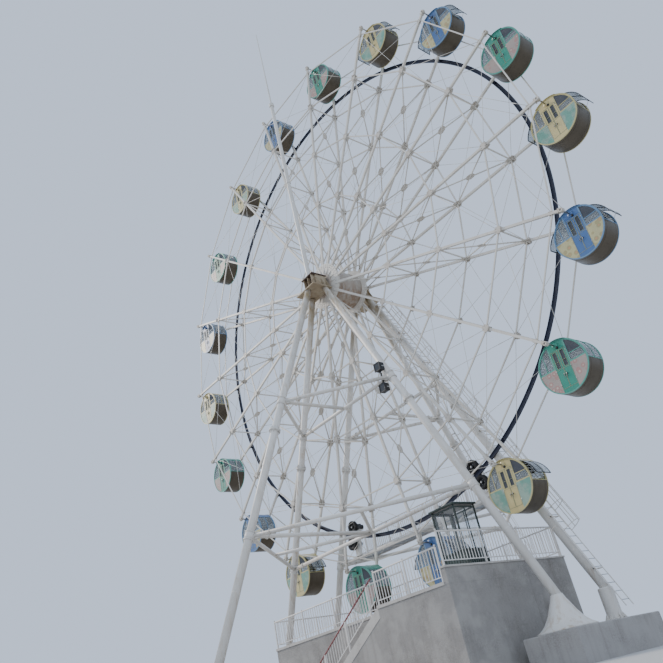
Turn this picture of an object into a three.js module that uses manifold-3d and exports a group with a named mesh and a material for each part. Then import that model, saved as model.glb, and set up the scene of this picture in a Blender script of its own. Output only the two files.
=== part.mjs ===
// Ferris wheel with eighteen level cabins on two tripods of tube, in millimetres.
// The ground is z = 0, the wheel axle runs along Y above the origin, the front faces -Y.
import * as THREE from 'three';
import { mergeVertices } from 'three/addons/utils/BufferGeometryUtils.js';
import Module from 'manifold-3d';

const wasm = await Module();
wasm.setup();

// Main sizes
const HUB_Z = 18810;
const PIVOT_R = 13700;
const CABINS = 18;
const STEP = (2 * Math.PI) / CABINS;
const PHASE = (-1.3 * Math.PI) / 180;
const GAP = 0.3;
const RUNNING = 0.4;
const AXLE_R = 240;
const STUB_R = 40;

// Rotating frame: two flat lattices joined by short struts
const FRAME_Y = 890;
const CHORD = 100;
const RING_RADII = [4740, 7830, 10960];
const RIM_RADIUS = 13330;
const HUB_R = 1150;
const JOINT_R = 11090;
const PIN_R = 32;

// Drive ring behind the rear lattice, and the tyres that pinch it
const DRIVE_R = 12214;
const DRIVE_Y = 1150;
const DRIVE_DEPTH = 150;
const DRIVE_SIDES = 54;
const TYRE_R = 300;
const TYRE_GAP = 6;

// Cabin drum, measured from its pivot
const DRUM_R = 1000;
const DRUM_HALF = 472;
const DRUM_DROP = 797;
const CABIN_Y = 120;
const DRUM_WALL = 30;
const DRUM_SIDES = 14;
const FLOOR_Z = -780;
const DOOR_HALF = 310;
const DOOR_TOP = 620;
const BOARDING_CABIN = 9;
const WINDOW_Z = [-100, 650];
const FLAP_HINGE = [694, 694];
const FLAP_R = 985;
const FLAP_ARC_DEG = [47, -7];
const FLAP_HALF = 413;
const FLAP_SWING_DEG = 22;
const OPEN_RIGHT = [1, 2, 4, 5, 7, 8, 10];
const OPEN_LEFT = [1, 2, 4, 5, 8];

// Tripods
const HEAD_Y = 1400;
const OUTRIGGER_Y = 1790;
const HEAD_NEAR_Y = 1060;
const HEAD_FAR_Y = 2250;
const CAP_Z = HUB_Z + 335;
const LEG_X0 = 282;
const LEG_SLOPE_X = 0.4443;
const LEG_SLOPE_Y = 0.443;
const LEG_R = 155;
const SADDLE_Z = HUB_Z - 510;
const UPPER_Z = 11960;
const LOWER_Z = 6316;
const TIE_R = 80;
const STRUT_R = 70;
const FLANGE_Z = 10590;
const KNEE_Z = 2050;
const BLOCK_Z = 1000;
const BLOCK_HALF = 1000;
const SKIRT_R = 950;
const LADDER_RUNGS = 8;
const LADDER_OFF = 300;
const LADDER_HALF = 230;
const LADDER_CLEAR = 90;
const LADDER_PITCH = 2100;

// Boarding platform
const DECK_Z = 3055;
const DECK_LEFT_X = -6000;
const DECK_RIGHT_X = 6200;
const DECK_BACK_Y = 2000;
const PARAPET = 450;
const PARAPET_WIDTH = 180;
const DECK_FRONT_Y = -4400;
const STAIR_BACK_Y = -2900;
const STAIR_TOP_X = 2740;
const RISERS = 18;
const GOING = 300;

// Colour, roughness and metalness of each finish
const FINISHES = {
  white: [0xe9e6df, 0.45, 0.1],
  rust: [0x7a5a40, 0.8, 0.2],
  steel: [0x8b8a86, 0.4, 0.9],
  navy: [0x16203a, 0.4, 0.3],
  black: [0x1a1a1c, 0.6, 0.1],
  rubber: [0x161617, 0.9, 0.0],
  masonry: [0x8d8a85, 0.9, 0.0],
  yellow: [0xd9c978, 0.4, 0.1],
  blue: [0x3f74b5, 0.4, 0.1],
  green: [0x3c9a83, 0.4, 0.1],
  dark: [0x24302c, 0.5, 0.2],
};

function toSolid(geometry) {
  const plain = geometry.clone();
  plain.deleteAttribute('normal');
  plain.deleteAttribute('uv');
  const merged = mergeVertices(plain, 1e-4);
  return new wasm.Manifold(new wasm.Mesh({
    numProp: 3,
    vertProperties: new Float32Array(merged.attributes.position.array),
    triVerts: new Uint32Array(merged.index.array),
  }));
}

function toMesh(name, solid, finish) {
  const data = solid.getMesh();
  const geometry = new THREE.BufferGeometry();
  geometry.setAttribute('position', new THREE.BufferAttribute(new Float32Array(data.vertProperties), 3));
  geometry.setIndex(new THREE.BufferAttribute(new Uint32Array(data.triVerts), 1));
  geometry.computeVertexNormals();
  const [color, roughness, metalness] = FINISHES[finish];
  const mesh = new THREE.Mesh(geometry, new THREE.MeshStandardMaterial({ color, roughness, metalness }));
  mesh.name = name;
  return mesh;
}

const union = (solids) => wasm.Manifold.union(solids);

function box(x0, x1, y0, y1, z0, z1) {
  const g = new THREE.BoxGeometry(x1 - x0, y1 - y0, z1 - z0);
  g.translate((x0 + x1) / 2, (y0 + y1) / 2, (z0 + z1) / 2);
  return toSolid(g);
}

// Prism with a few sides whose axis runs from a to b
function rod(a, b, radius, sides = 6, endRadius = radius, turn = Math.PI / sides) {
  const from = new THREE.Vector3(...a);
  const to = new THREE.Vector3(...b);
  const along = to.clone().sub(from);
  const g = new THREE.CylinderGeometry(endRadius, radius, along.length(), sides);
  g.rotateY(turn);
  g.applyQuaternion(new THREE.Quaternion().setFromUnitVectors(
    new THREE.Vector3(0, 1, 0), along.clone().normalize()));
  g.translate((from.x + to.x) / 2, (from.y + to.y) / 2, (from.z + to.z) / 2);
  return toSolid(g);
}

// Hole that a turning prism of the same number of sides just clears at any angle
function bore(a, b, pinRadius, sides = 6) {
  const radius = (pinRadius + RUNNING) / Math.cos(Math.PI / sides);
  return rod(a, b, radius, sides, radius, 0);
}

// Square bar in the plane of the wheel, from radius r0 to r1 at angle t
function radialBar(t, r0, r1, y, size) {
  const g = new THREE.BoxGeometry(r1 - r0, size, size);
  g.translate((r0 + r1) / 2, 0, 0);
  g.rotateY(-t);
  g.translate(0, y, HUB_Z);
  return toSolid(g);
}

// Flat outline in the x-z plane pushed out along y
function plate(points, y0, y1, holes = []) {
  const shape = new THREE.Shape(points.map((p) => new THREE.Vector2(p[0], p[1])));
  for (const hole of holes) shape.holes.push(new THREE.Path(hole.map((p) => new THREE.Vector2(p[0], p[1]))));
  const g = new THREE.ExtrudeGeometry(shape, { depth: y1 - y0, bevelEnabled: false });
  g.rotateX(Math.PI / 2);
  g.translate(0, y1, 0);
  return toSolid(g);
}

function polygon(radius, sides, turn = 0, cx = 0, cz = 0) {
  const points = [];
  for (let i = 0; i < sides; i += 1) {
    const a = turn + (i * 2 * Math.PI) / sides;
    points.push([cx + radius * Math.cos(a), cz + radius * Math.sin(a)]);
  }
  return points;
}

const armAngle = (i) => PHASE + i * STEP;
const onWheel = (r, t, y) => [r * Math.cos(t), y, HUB_Z + r * Math.sin(t)];

function wheelRing(radius, y, depth, width, sides, turn) {
  const ring = plate(polygon(radius + depth / 2, sides, turn), y - width / 2, y + width / 2,
    [polygon(radius - depth / 2, sides, turn).reverse()]);
  return ring.translate([0, 0, HUB_Z]);
}

// Inner lattice of one face: chords from the hub to the bolted joint, and three straight-sided rings
function innerLattice(side) {
  const y = side * FRAME_Y;
  const solids = [];
  for (let i = 0; i < CABINS; i += 1) {
    solids.push(radialBar(armAngle(i), HUB_R + GAP, JOINT_R, y, CHORD));
  }
  for (const r of RING_RADII) solids.push(wheelRing(r, y, 60, 50, CABINS, PHASE));
  return solids;
}

function frontInnerFrame() {
  return toMesh('front_inner_frame', union(innerLattice(-1)), 'white');
}

// The rear lattice carries the short struts that space the two faces
function rearInnerFrame() {
  const solids = innerLattice(1);
  const end = -FRAME_Y + CHORD / 2 + GAP;
  for (let i = 0; i < CABINS; i += 1) {
    for (const r of RING_RADII) {
      solids.push(rod(onWheel(r, armAngle(i), FRAME_Y), onWheel(r, armAngle(i), end), 36, 4));
    }
  }
  return toMesh('rear_inner_frame', union(solids), 'white');
}

// Outer part of one face: eighteen arm ends with an eye for a cabin pin, joined by the rim rods
function outerRim(name, side) {
  const y = side * FRAME_Y;
  const solids = [wheelRing(RIM_RADIUS, y, 50, 44, CABINS, PHASE)];
  const eyes = [];
  for (let i = 0; i < CABINS; i += 1) {
    const t = armAngle(i);
    solids.push(radialBar(t, JOINT_R + GAP, PIVOT_R + 95, y, CHORD));
    eyes.push(bore(onWheel(PIVOT_R, t, y - 90), onWheel(PIVOT_R, t, y + 90), PIN_R));
  }
  return toMesh(name, union(solids).subtract(union(eyes)), 'white');
}

function hub() {
  const drum = rod([0, -1000, HUB_Z], [0, 1000, HUB_Z], 640, 18).add(rod([0, -FRAME_Y, HUB_Z], [0, FRAME_Y, HUB_Z], 900, 18));
  const flat = HUB_R / Math.cos(Math.PI / CABINS);
  const turn = PHASE + STEP / 2;
  const discs = [-1, 1].map((s) => plate(polygon(flat, CABINS, turn), s * FRAME_Y - 60, s * FRAME_Y + 60)
    .translate([0, 0, HUB_Z]));
  const hole = bore([0, -1400, HUB_Z], [0, 1400, HUB_Z], AXLE_R, 12);
  return toMesh('wheel_hub', union([drum, ...discs]).subtract(hole), 'white');
}

function axle() {
  const shaft = rod([0, -HEAD_Y - 300, HUB_Z], [0, HEAD_Y + 300, HUB_Z], AXLE_R, 12);
  return toMesh('axle', shaft, 'rust');
}

function driveRing() {
  const solids = [wheelRing(DRIVE_R, DRIVE_Y, DRIVE_DEPTH, 80, DRIVE_SIDES, PHASE)];
  for (let i = 0; i < CABINS; i += 1) {
    const g = new THREE.BoxGeometry(90, DRIVE_Y - FRAME_Y - CHORD / 2 - GAP, 110);
    g.translate(DRIVE_R, (DRIVE_Y + FRAME_Y + CHORD / 2 + GAP) / 2, 0);
    g.rotateY(-armAngle(i));
    g.translate(0, 0, HUB_Z);
    solids.push(toSolid(g));
  }
  return toMesh('drive_ring', union(solids), 'navy');
}

// Cabins
const cabinNumberAngle = (n) => PHASE + (4 - n) * STEP;
const cabinColour = (n) => ['yellow', 'blue', 'green'][(n - 1) % 3];

// Points on an arc about the drum's middle, between two angles in degrees
function arcPoints(radius, [from, to], chords) {
  const points = [];
  for (let i = 0; i <= chords; i += 1) {
    const a = ((from + ((to - from) * i) / chords) * Math.PI) / 180;
    points.push([radius * Math.cos(a), radius * Math.sin(a)]);
  }
  return points;
}

// Curved window of the drum's side, pushed open about its top edge
function flap(side) {
  const [x, z] = FLAP_HINGE;
  const outline = [...arcPoints(FLAP_R, FLAP_ARC_DEG, 3), ...arcPoints(FLAP_R - 24, FLAP_ARC_DEG, 3).reverse()];
  const panel = plate(outline, -FLAP_HALF, FLAP_HALF).translate([-x, 0, -z])
    .rotate([0, -FLAP_SWING_DEG, 0]).translate([x, 0, z]);
  return side > 0 ? panel : panel.mirror([1, 0, 0]);
}

function cabinShell(n) {
  const turn = Math.PI / DRUM_SIDES;
  const corner = 1 / Math.cos(turn);
  const outer = plate(polygon(DRUM_R, DRUM_SIDES, turn), -DRUM_HALF, DRUM_HALF);
  const room = plate(polygon((DRUM_R * Math.cos(turn) - DRUM_WALL) * corner, DRUM_SIDES, turn),
    -DRUM_HALF + DRUM_WALL, DRUM_HALF - DRUM_WALL).intersect(box(-1100, 1100, -600, 600, FLOOR_Z, 1100));
  let shell = outer.subtract(room);
  const cuts = [];
  const far = DRUM_HALF + 50;
  for (const s of [-1, 1]) {
    const pane = [[390, 20], [860, 20], [700, 540], [390, 760]].map((p) => [s * p[0], p[1]]);
    cuts.push(plate(s > 0 ? pane : pane.reverse(), -far, far));
    cuts.push(box(s > 0 ? 600 : -1100, s > 0 ? 1100 : -600, -400, 400, ...WINDOW_Z));
  }
  const open = n === BOARDING_CABIN;
  cuts.push(box(-250, 250, open ? 0 : -far, far, -40, 575));
  const jamb = DOOR_HALF + GAP;
  if (open) cuts.push(box(-jamb, jamb, -far, -DRUM_HALF + DRUM_WALL + 20, FLOOR_Z, DOOR_TOP + 4));
  const reach = FRAME_Y + CHORD / 2 + 12;
  const pins = [-1, 1].map((s) => rod([0, s * (DRUM_HALF - 15), DRUM_DROP], [0, s * reach - CABIN_Y, DRUM_DROP], PIN_R));
  const flaps = [];
  if (OPEN_RIGHT.includes(n)) flaps.push(flap(1));
  if (OPEN_LEFT.includes(n)) flaps.push(flap(-1));
  shell = union([shell.subtract(union(cuts)), ...pins, ...flaps]);
  return toMesh(`cabin_${String(n).padStart(2, '0')}`, shell, cabinColour(n));
}

function doorLeaf(side) {
  const edge = 3;
  const x = side > 0 ? [edge, DOOR_HALF] : [-DOOR_HALF, -edge];
  const leaf = box(x[0], x[1], -DRUM_HALF, -DRUM_HALF + DRUM_WALL, FLOOR_Z + GAP, DOOR_TOP);
  const pane = box(side > 0 ? 50 : -250, side > 0 ? 250 : -50, -DRUM_HALF - 50, 0, -40, 575);
  return toMesh(side > 0 ? 'cabin_09_right_door' : 'cabin_09_left_door', leaf.subtract(pane),
    cabinColour(BOARDING_CABIN));
}

// A cabin with its door leaves, hung under its pivot
function cabin(n) {
  const hung = new THREE.Group();
  hung.name = `cabin_${n}_hung`;
  const at = onWheel(PIVOT_R, cabinNumberAngle(n), 0);
  hung.position.set(at[0], CABIN_Y, at[2] - DRUM_DROP);
  hung.add(cabinShell(n));
  if (n === BOARDING_CABIN) hung.add(doorLeaf(-1), doorLeaf(1));
  return hung;
}

// Tripods. Each leg is given by its sign along x (0 for the outrigger) and its side along y.
function legPoint(sx, sy, z, scale = 1) {
  const down = HUB_Z - z;
  const x = sx * (LEG_X0 + LEG_SLOPE_X * down);
  const y = sy * (sx === 0 ? OUTRIGGER_Y + LEG_SLOPE_Y * down * scale : HEAD_Y);
  return [x, y, z];
}

function legTube(sx, sy, radius) {
  return rod(legPoint(sx, sy, KNEE_Z - 200), legPoint(sx, sy, SADDLE_Z + 300), radius, 8);
}

// Skirt of the knee: flared in two steps in front, a plain stub behind
function skirt(foot, sy) {
  const at = (z) => [foot[0], foot[1], z];
  if (sy > 0) return rod(at(BLOCK_Z), at(KNEE_Z + 60), 260, 10);
  const waist = BLOCK_Z + 380;
  return rod(at(BLOCK_Z), at(waist), SKIRT_R, 10, 500).add(rod(at(waist), at(KNEE_Z), 500, 10, 200));
}

// Footing: a square block, or for the side legs one end of a wall that runs to the wheel's middle plane
function footing(foot, sx, sy) {
  const far = foot[1] + sy * BLOCK_HALF;
  const near = sx === 0 ? foot[1] - sy * BLOCK_HALF : (sy * GAP) / 2;
  return box(foot[0] - BLOCK_HALF, foot[0] + BLOCK_HALF, Math.min(near, far), Math.max(near, far), 0, BLOCK_Z);
}

function leg(name, sx, sy) {
  const foot = legPoint(sx, sy, KNEE_Z);
  const f0 = legPoint(sx, sy, FLANGE_Z - 45);
  const f1 = legPoint(sx, sy, FLANGE_Z + 45);
  const tube = union([legTube(sx, sy, LEG_R), skirt(foot, sy), rod(f0, f1, 240, 8)])
    .intersect(box(-12000, 12000, -12000, 12000, BLOCK_Z - 1, SADDLE_Z - 60 - GAP));
  return toMesh(name, tube.add(footing(foot, sx, sy)), 'white');
}

function head(name, sy) {
  const y = sy * HEAD_Y;
  const [near, far] = [sy * HEAD_NEAR_Y, sy * HEAD_FAR_Y].sort((a, b) => a - b);
  const saddle = box(-720, 720, near, far, SADDLE_Z - 60, SADDLE_Z);
  const housing = box(-400, 400, y - 320, y + 320, SADDLE_Z - 5, CAP_Z - 50);
  const [inner, outer] = [sy * (HEAD_Y - 360), sy * (OUTRIGGER_Y + 180)].sort((a, b) => a - b);
  const cap = box(-450, 450, inner, outer, CAP_Z - 55, CAP_Z);
  const seat = rod([0, y - 600, HUB_Z], [0, y + 600, HUB_Z], AXLE_R + GAP, 12);
  return toMesh(name, union([saddle, housing, cap]).subtract(seat), 'rust');
}

// Level triangle of tubes that ties the three legs of one side, with a median strut; the lower one has two more
function tieFrame(name, sy, z, braced) {
  const a = legPoint(0, sy, z);
  const b = legPoint(-1, sy, z);
  const d = legPoint(1, sy, z);
  const middle = [0, sy * HEAD_Y, z];
  const solids = [rod(a, b, TIE_R), rod(a, d, TIE_R), rod(b, d, TIE_R), rod(a, middle, TIE_R)];
  for (const c of braced ? [b, d] : []) solids.push(rod(c.map((v, i) => (v + a[i]) / 2), middle, STRUT_R));
  for (const sx of [-1, 0, 1]) {
    solids.push(rod(legPoint(sx, sy, z - 160), legPoint(sx, sy, z + 160), 200, 8));
  }
  let frame = union(solids);
  for (const sx of [-1, 0, 1]) frame = frame.subtract(legTube(sx, sy, LEG_R + 0.5));
  return toMesh(name, frame, 'white');
}

function mast() {
  const foot = CAP_Z + GAP;
  const at = (z) => [0, -OUTRIGGER_Y, z];
  const base = box(-150, 150, -OUTRIGGER_Y - 150, -OUTRIGGER_Y + 150, foot, foot + 40);
  const lower = rod(at(foot + 20), at(HUB_Z + 12645), 115);
  const collar = rod(at(HUB_Z + 12500), at(HUB_Z + 12700), 150);
  const tip = rod(at(HUB_Z + 12600), at(HUB_Z + 19000), 45, 6, 22);
  return toMesh('lightning_mast', union([base, lower, collar, tip]), 'white');
}

// Height on which the pieces carried by the lower ties stand
const TIE_TOP = LOWER_Z + TIE_R * Math.cos(Math.PI / 6) + GAP;

// Drive unit: a pedestal on the rear tie tube and two stub axles for the tyres
const driveAngle = (side) => (side > 0 ? -70 : -110) * (Math.PI / 180);
const innerTyre = (DRIVE_R - DRIVE_DEPTH / 2) * Math.cos(Math.PI / DRIVE_SIDES) - TYRE_GAP - TYRE_R;
const outerTyre = DRIVE_R + DRIVE_DEPTH / 2 + TYRE_GAP + TYRE_R;

function driveMount(side) {
  const t = driveAngle(side);
  const inAt = onWheel(innerTyre, t, 0);
  const outAt = onWheel(outerTyre, t, 0);
  const y = HEAD_Y + 20;
  const foot = TIE_TOP;
  const x = outAt[0];
  const solids = [
    box(x - 300, x + 300, y - 160, y + 260, foot, foot + 40),
    rod([x, y, foot + 20], [inAt[0], y, inAt[2] + 250], 110, 4),
    box(inAt[0] - 150, inAt[0] + 150, y - 60, y + 330, inAt[2] - 130, inAt[2] + 150),
    rod([inAt[0], y, inAt[2]], [inAt[0], DRIVE_Y - 100, inAt[2]], STUB_R),
    rod([outAt[0], y, outAt[2]], [outAt[0], DRIVE_Y - 100, outAt[2]], STUB_R),
    box(x - 120, x + 120, y - 60, y + 60, foot + 20, outAt[2] + 90),
  ];
  return toMesh(side > 0 ? 'right_drive_mount' : 'left_drive_mount', union(solids), 'white');
}

function driveTyre(side, inner) {
  const at = onWheel(inner ? innerTyre : outerTyre, driveAngle(side), 0);
  const tyre = rod([at[0], DRIVE_Y - 85, at[2]], [at[0], DRIVE_Y + 85, at[2]], TYRE_R, 20);
  const hole = bore([at[0], DRIVE_Y - 200, at[2]], [at[0], DRIVE_Y + 200, at[2]], STUB_R);
  const name = `${side > 0 ? 'right' : 'left'}_${inner ? 'inner' : 'outer'}_tyre`;
  return toMesh(name, tyre.subtract(hole), 'black');
}

// Service walk behind the rear tie frame, with a rail on each long side
function serviceWalk() {
  const z = TIE_TOP + 27;
  const half = 5200;
  const solids = [box(-half, half, 2000, 2800, z, z + 50)];
  for (const x of [-5000, -2600, 0, 2600, 5000]) {
    solids.push(box(x - 40, x + 40, HEAD_Y - 60, 2790, TIE_TOP, z + 10));
  }
  for (const y of [2020, 2780]) {
    for (let i = 0; i < 5; i += 1) {
      const x = -half + 40 + (i * (2 * half - 80)) / 4;
      solids.push(box(x - 22, x + 22, y - 20, y + 20, z + 20, z + 1120));
    }
    solids.push(box(-half + 10, half - 10, y - 24, y + 24, z + 1100, z + 1150));
    solids.push(box(-half + 12, half - 12, y - 14, y + 14, z + 170, z + 200));
  }
  return toMesh('service_walk', union(solids), 'white');
}

function floodlights() {
  const x = 3080;
  const y = -HEAD_Y;
  const solids = [
    box(x - 175, x - 115, y - 200, y - TIE_R - GAP, UPPER_Z - 330, UPPER_Z + 330),
    box(x - 180, x + 180, y - 480, y - 180, UPPER_Z + 300, UPPER_Z + 680),
    box(x - 180, x + 180, y - 480, y - 180, UPPER_Z - 680, UPPER_Z - 300),
  ];
  return toMesh('floodlights', union(solids), 'black');
}

// Ladder on the outer side of a rear leg, held off it by short arms; beside the wheel it keeps clear of the drive ring
function ladder(name, sx) {
  const solids = [];
  const at = (z, off, spread) => {
    const [x, y] = legPoint(sx, 1, z);
    return sx === 0 ? [x + spread, y + off, z] : [x + sx * off, y + spread, z];
  };
  const middle = sx === 0 ? 0 : LADDER_CLEAR;
  for (const spread of [middle - LADDER_HALF, middle + LADDER_HALF]) {
    solids.push(rod(at(BLOCK_Z + 350, LADDER_OFF, spread), at(SADDLE_Z - 500, LADDER_OFF, spread), 32, 4));
  }
  for (let i = 0; i < LADDER_RUNGS; i += 1) {
    const z = KNEE_Z + 650 + i * LADDER_PITCH;
    solids.push(rod(at(z, LADDER_OFF, middle - LADDER_HALF), at(z, LADDER_OFF, middle + LADDER_HALF), 16, 4));
    solids.push(rod(at(z, 0, 0), at(z, LADDER_OFF, 0), 30, 4));
  }
  return toMesh(name, union(solids).subtract(legTube(sx, 1, LEG_R + 0.5)), 'white');
}

// Masonry platform with a low parapet behind and on the right, its stair and rails
function platform() {
  const top = DECK_Z + PARAPET;
  const slabs = [
    box(DECK_LEFT_X, DECK_RIGHT_X, STAIR_BACK_Y, DECK_BACK_Y, 0, DECK_Z),
    box(STAIR_TOP_X, DECK_RIGHT_X, DECK_FRONT_Y, DECK_BACK_Y, 0, DECK_Z),
    box(DECK_LEFT_X, DECK_RIGHT_X, DECK_BACK_Y - PARAPET_WIDTH, DECK_BACK_Y, 0, top),
    box(DECK_RIGHT_X - PARAPET_WIDTH, DECK_RIGHT_X, DECK_FRONT_Y, DECK_BACK_Y, 0, top),
  ];
  return toMesh('boarding_platform', union(slabs), 'masonry');
}

function stairFlight(y0, y1) {
  const rise = DECK_Z / RISERS;
  const points = [[STAIR_TOP_X - GAP, 0], [STAIR_TOP_X - GAP, DECK_Z - rise]];
  for (let i = 1; i < RISERS; i += 1) {
    const x = STAIR_TOP_X - i * GOING;
    points.push([x, DECK_Z - i * rise]);
    if (i < RISERS - 1) points.push([x, DECK_Z - (i + 1) * rise]);
  }
  points.push([points.at(-1)[0], 0]);
  return plate(points.reverse(), y0, y1);
}

function stair() {
  return toMesh('boarding_stair', stairFlight(DECK_FRONT_Y, STAIR_BACK_Y - GAP), 'masonry');
}

// Rail of posts and two bars along a level line of corners
function levelRail(name, corners, base = DECK_Z) {
  const z = base + GAP;
  const solids = [];
  for (let i = 0; i + 1 < corners.length; i += 1) {
    const [x0, y0] = corners[i];
    const [x1, y1] = corners[i + 1];
    const along = Math.hypot(x1 - x0, y1 - y0);
    const bays = Math.ceil(along / 2600);
    for (let k = i === 0 ? 0 : 1; k <= bays; k += 1) {
      const x = x0 + ((x1 - x0) * k) / bays;
      const y = y0 + ((y1 - y0) * k) / bays;
      solids.push(box(x - 25, x + 25, y - 25, y + 25, z, z + 1070));
    }
    for (const [h, size] of [[1075, 30], [150, 16]]) {
      const r = size - i;
      solids.push(box(Math.min(x0, x1) - r, Math.max(x0, x1) + r, Math.min(y0, y1) - r, Math.max(y0, y1) + r,
        z + h - r, z + h + r));
    }
  }
  return toMesh(name, union(solids), 'white');
}

// Sloping rail along the front of the stair
function stairRail(name, y) {
  const rise = DECK_Z / RISERS;
  const solids = [];
  const line = (k, h) => [STAIR_TOP_X - k * GOING, y, DECK_Z - k * rise + h];
  for (const k of [1.5, 6.5, 11.5, RISERS - 2.5]) {
    const [x, , z] = line(k, 0);
    const tread = DECK_Z - Math.ceil(k) * rise;
    solids.push(box(x - 25, x + 25, y - 25, y + 25, tread + GAP, z + 1000));
  }
  solids.push(rod(line(0.4, 1000), line(RISERS - 1.4, 1000), 38, 4));
  solids.push(rod(line(0.4, 240), line(RISERS - 1.4, 240), 20, 4));
  return toMesh(name, union(solids), 'white');
}

// Operator's booth: a framed box with a doorway, glazed openings and a flat roof
function booth() {
  const [x0, x1, y0, y1] = [4700, 5800, -2750, -1650];
  const z = DECK_Z + GAP;
  const top = z + 2600;
  const outer = box(x0, x1, y0, y1, z, top).add(box(x0 - 60, x1 + 60, y0 - 60, y1 + 60, top - 70, top));
  const cuts = [
    box(x0 + 50, x1 - 50, y0 + 50, y1 - 50, z + 60, top - 80),
    box(x0 + 150, x1 - 150, y0 - 100, y1 + 100, z + 1000, top - 180),
    box(x0 - 100, x1 + 100, y0 + 150, y1 - 150, z + 1000, top - 180),
    box(x0 - 100, x0 + 100, y0 + 200, y1 - 200, z + 60, top - 180),
  ];
  return toMesh('operator_booth', outer.subtract(union(cuts)), 'dark');
}

function gather(name, pieces) {
  const part = new THREE.Group();
  part.name = name;
  part.add(...pieces);
  return part;
}

const sides = [[-1, 'front'], [1, 'rear']];
const numbers = Array.from({ length: CABINS }, (_, i) => i + 1);

const wheel = gather('wheel', [hub(), frontInnerFrame(), rearInnerFrame(),
  outerRim('front_outer_rim', -1), outerRim('rear_outer_rim', 1), driveRing()]);
const cabins = gather('cabins', numbers.map(cabin));

const tripods = sides.map(([sy, word]) => gather(`${word}_tripod`, [
  head(`${word}_bearing_head`, sy), leg(`${word}_outrigger_leg`, 0, sy),
  leg(`${word}_left_leg`, -1, sy), leg(`${word}_right_leg`, 1, sy),
  tieFrame(`${word}_upper_ties`, sy, UPPER_Z, false), tieFrame(`${word}_lower_ties`, sy, LOWER_Z, true),
]));
const fittings = gather('fittings', [axle(), mast(), ladder('leg_ladder', 1), ladder('outrigger_ladder', 0),
  floodlights(), serviceWalk()]);
const drives = [-1, 1].map((side) => gather(side > 0 ? 'right_drive' : 'left_drive',
  [driveMount(side), driveTyre(side, true), driveTyre(side, false)]));

const inset = 50;
const backRail = DECK_BACK_Y - inset;
const leftLine = [[STAIR_TOP_X - 60, STAIR_BACK_Y + inset], [DECK_LEFT_X + inset, STAIR_BACK_Y + inset],
  [DECK_LEFT_X + inset, DECK_BACK_Y - PARAPET_WIDTH - 60]];
const rearLine = [[DECK_LEFT_X + 60, backRail], [DECK_RIGHT_X - 60, backRail]];
const rightLine = [[DECK_RIGHT_X - inset, DECK_BACK_Y - 150], [DECK_RIGHT_X - inset, DECK_FRONT_Y + 60]];
const frontLine = [[STAIR_TOP_X + 60, DECK_FRONT_Y + inset],
  [DECK_RIGHT_X - PARAPET_WIDTH - 70, DECK_FRONT_Y + inset]];
const boarding = gather('boarding', [platform(), stair(), booth(),
  levelRail('platform_left_rail', leftLine), levelRail('platform_rear_rail', rearLine, DECK_Z + PARAPET),
  levelRail('platform_right_rail', rightLine, DECK_Z + PARAPET), levelRail('platform_front_rail', frontLine),
  stairRail('boarding_stair_rail', DECK_FRONT_Y + inset)]);

const group = gather('ferris_wheel', [wheel, cabins, ...tripods, fittings, ...drives, boarding]);

export default group;
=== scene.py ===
import math

import bpy
import numpy as np
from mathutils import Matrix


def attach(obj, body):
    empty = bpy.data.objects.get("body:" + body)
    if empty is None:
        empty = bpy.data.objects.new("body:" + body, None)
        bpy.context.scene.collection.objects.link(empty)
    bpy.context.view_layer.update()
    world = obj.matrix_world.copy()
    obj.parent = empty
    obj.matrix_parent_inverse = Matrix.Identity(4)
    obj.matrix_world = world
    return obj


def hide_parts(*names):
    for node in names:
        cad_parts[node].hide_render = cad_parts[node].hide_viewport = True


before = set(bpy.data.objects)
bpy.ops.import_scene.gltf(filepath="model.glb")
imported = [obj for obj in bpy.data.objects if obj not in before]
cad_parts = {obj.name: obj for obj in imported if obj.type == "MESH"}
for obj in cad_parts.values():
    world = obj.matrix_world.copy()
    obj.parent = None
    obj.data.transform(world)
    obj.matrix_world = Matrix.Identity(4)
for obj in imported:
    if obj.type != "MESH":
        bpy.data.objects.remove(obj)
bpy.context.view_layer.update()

# Sizes shared with the solids, in metres: the wheel
HUB = 18.81  # height of the axle
PIVOT = 13.70  # radius of the circle of cabin pivots
CABINS = 18
STEP = 2 * math.pi / CABINS
PHASE = math.radians(-1.3)  # how far the wheel is turned from a spoke lying level
FACE_Y = 0.89  # middle of a face of spokes, from the wheel's middle plane
RINGS = (4.74, 7.83, 10.96)
RIM = 13.33
RING_R, RING_Y = 12.214, 1.15  # radius at which the drive ring is held, and depth of its middle

# The cabins
DROP = 0.797  # from the pivot down to the drum's middle
DRUM = 0.985  # outer radius
HALF = 0.472  # half the length of the drum
CABIN_Y = 0.12

# The tripods
HEAD_Y = 1.40
OUTRIGGER_Y = 1.79
LEG_R = 0.155
TIE_R = 0.08
CAP = HUB + 0.335  # top of the bearing heads
SADDLE = HUB - 0.51  # top of the saddle plates
UPPER, LOWER = 11.96, 6.316  # heights of the two levels of ties
TIE_TOP = LOWER + 0.0698  # what stands on the lower ties starts here
KNEE = 2.05  # height at which a leg meets its skirt or stub
BLOCK = 1.0  # top of the concrete blocks
LEG_JOINT = 10.59  # height of a leg's bolted joint
LEG_WELDS = (4.4, 6.9, 9.0, 13.4, 15.6)

# The boarding works
DECK = 3.055
DECK_LEFT, DECK_RIGHT, DECK_BACK, DECK_FRONT = -6.0, 6.2, 2.0, -4.4
STAIR_TOP, STAIR_BACK = 2.74, -2.9
PARAPET, PARAPET_WIDE = 0.45, 0.18
BOOTH_X, BOOTH_Y = (4.70, 5.80), (-2.75, -1.65)
BOOTH_HIGH = 2.6

GAP = 0.0003  # between pieces that stand on each other


# Camera

def link(thing):
    """Puts an object into the scene."""
    bpy.context.scene.collection.objects.link(thing)


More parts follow.
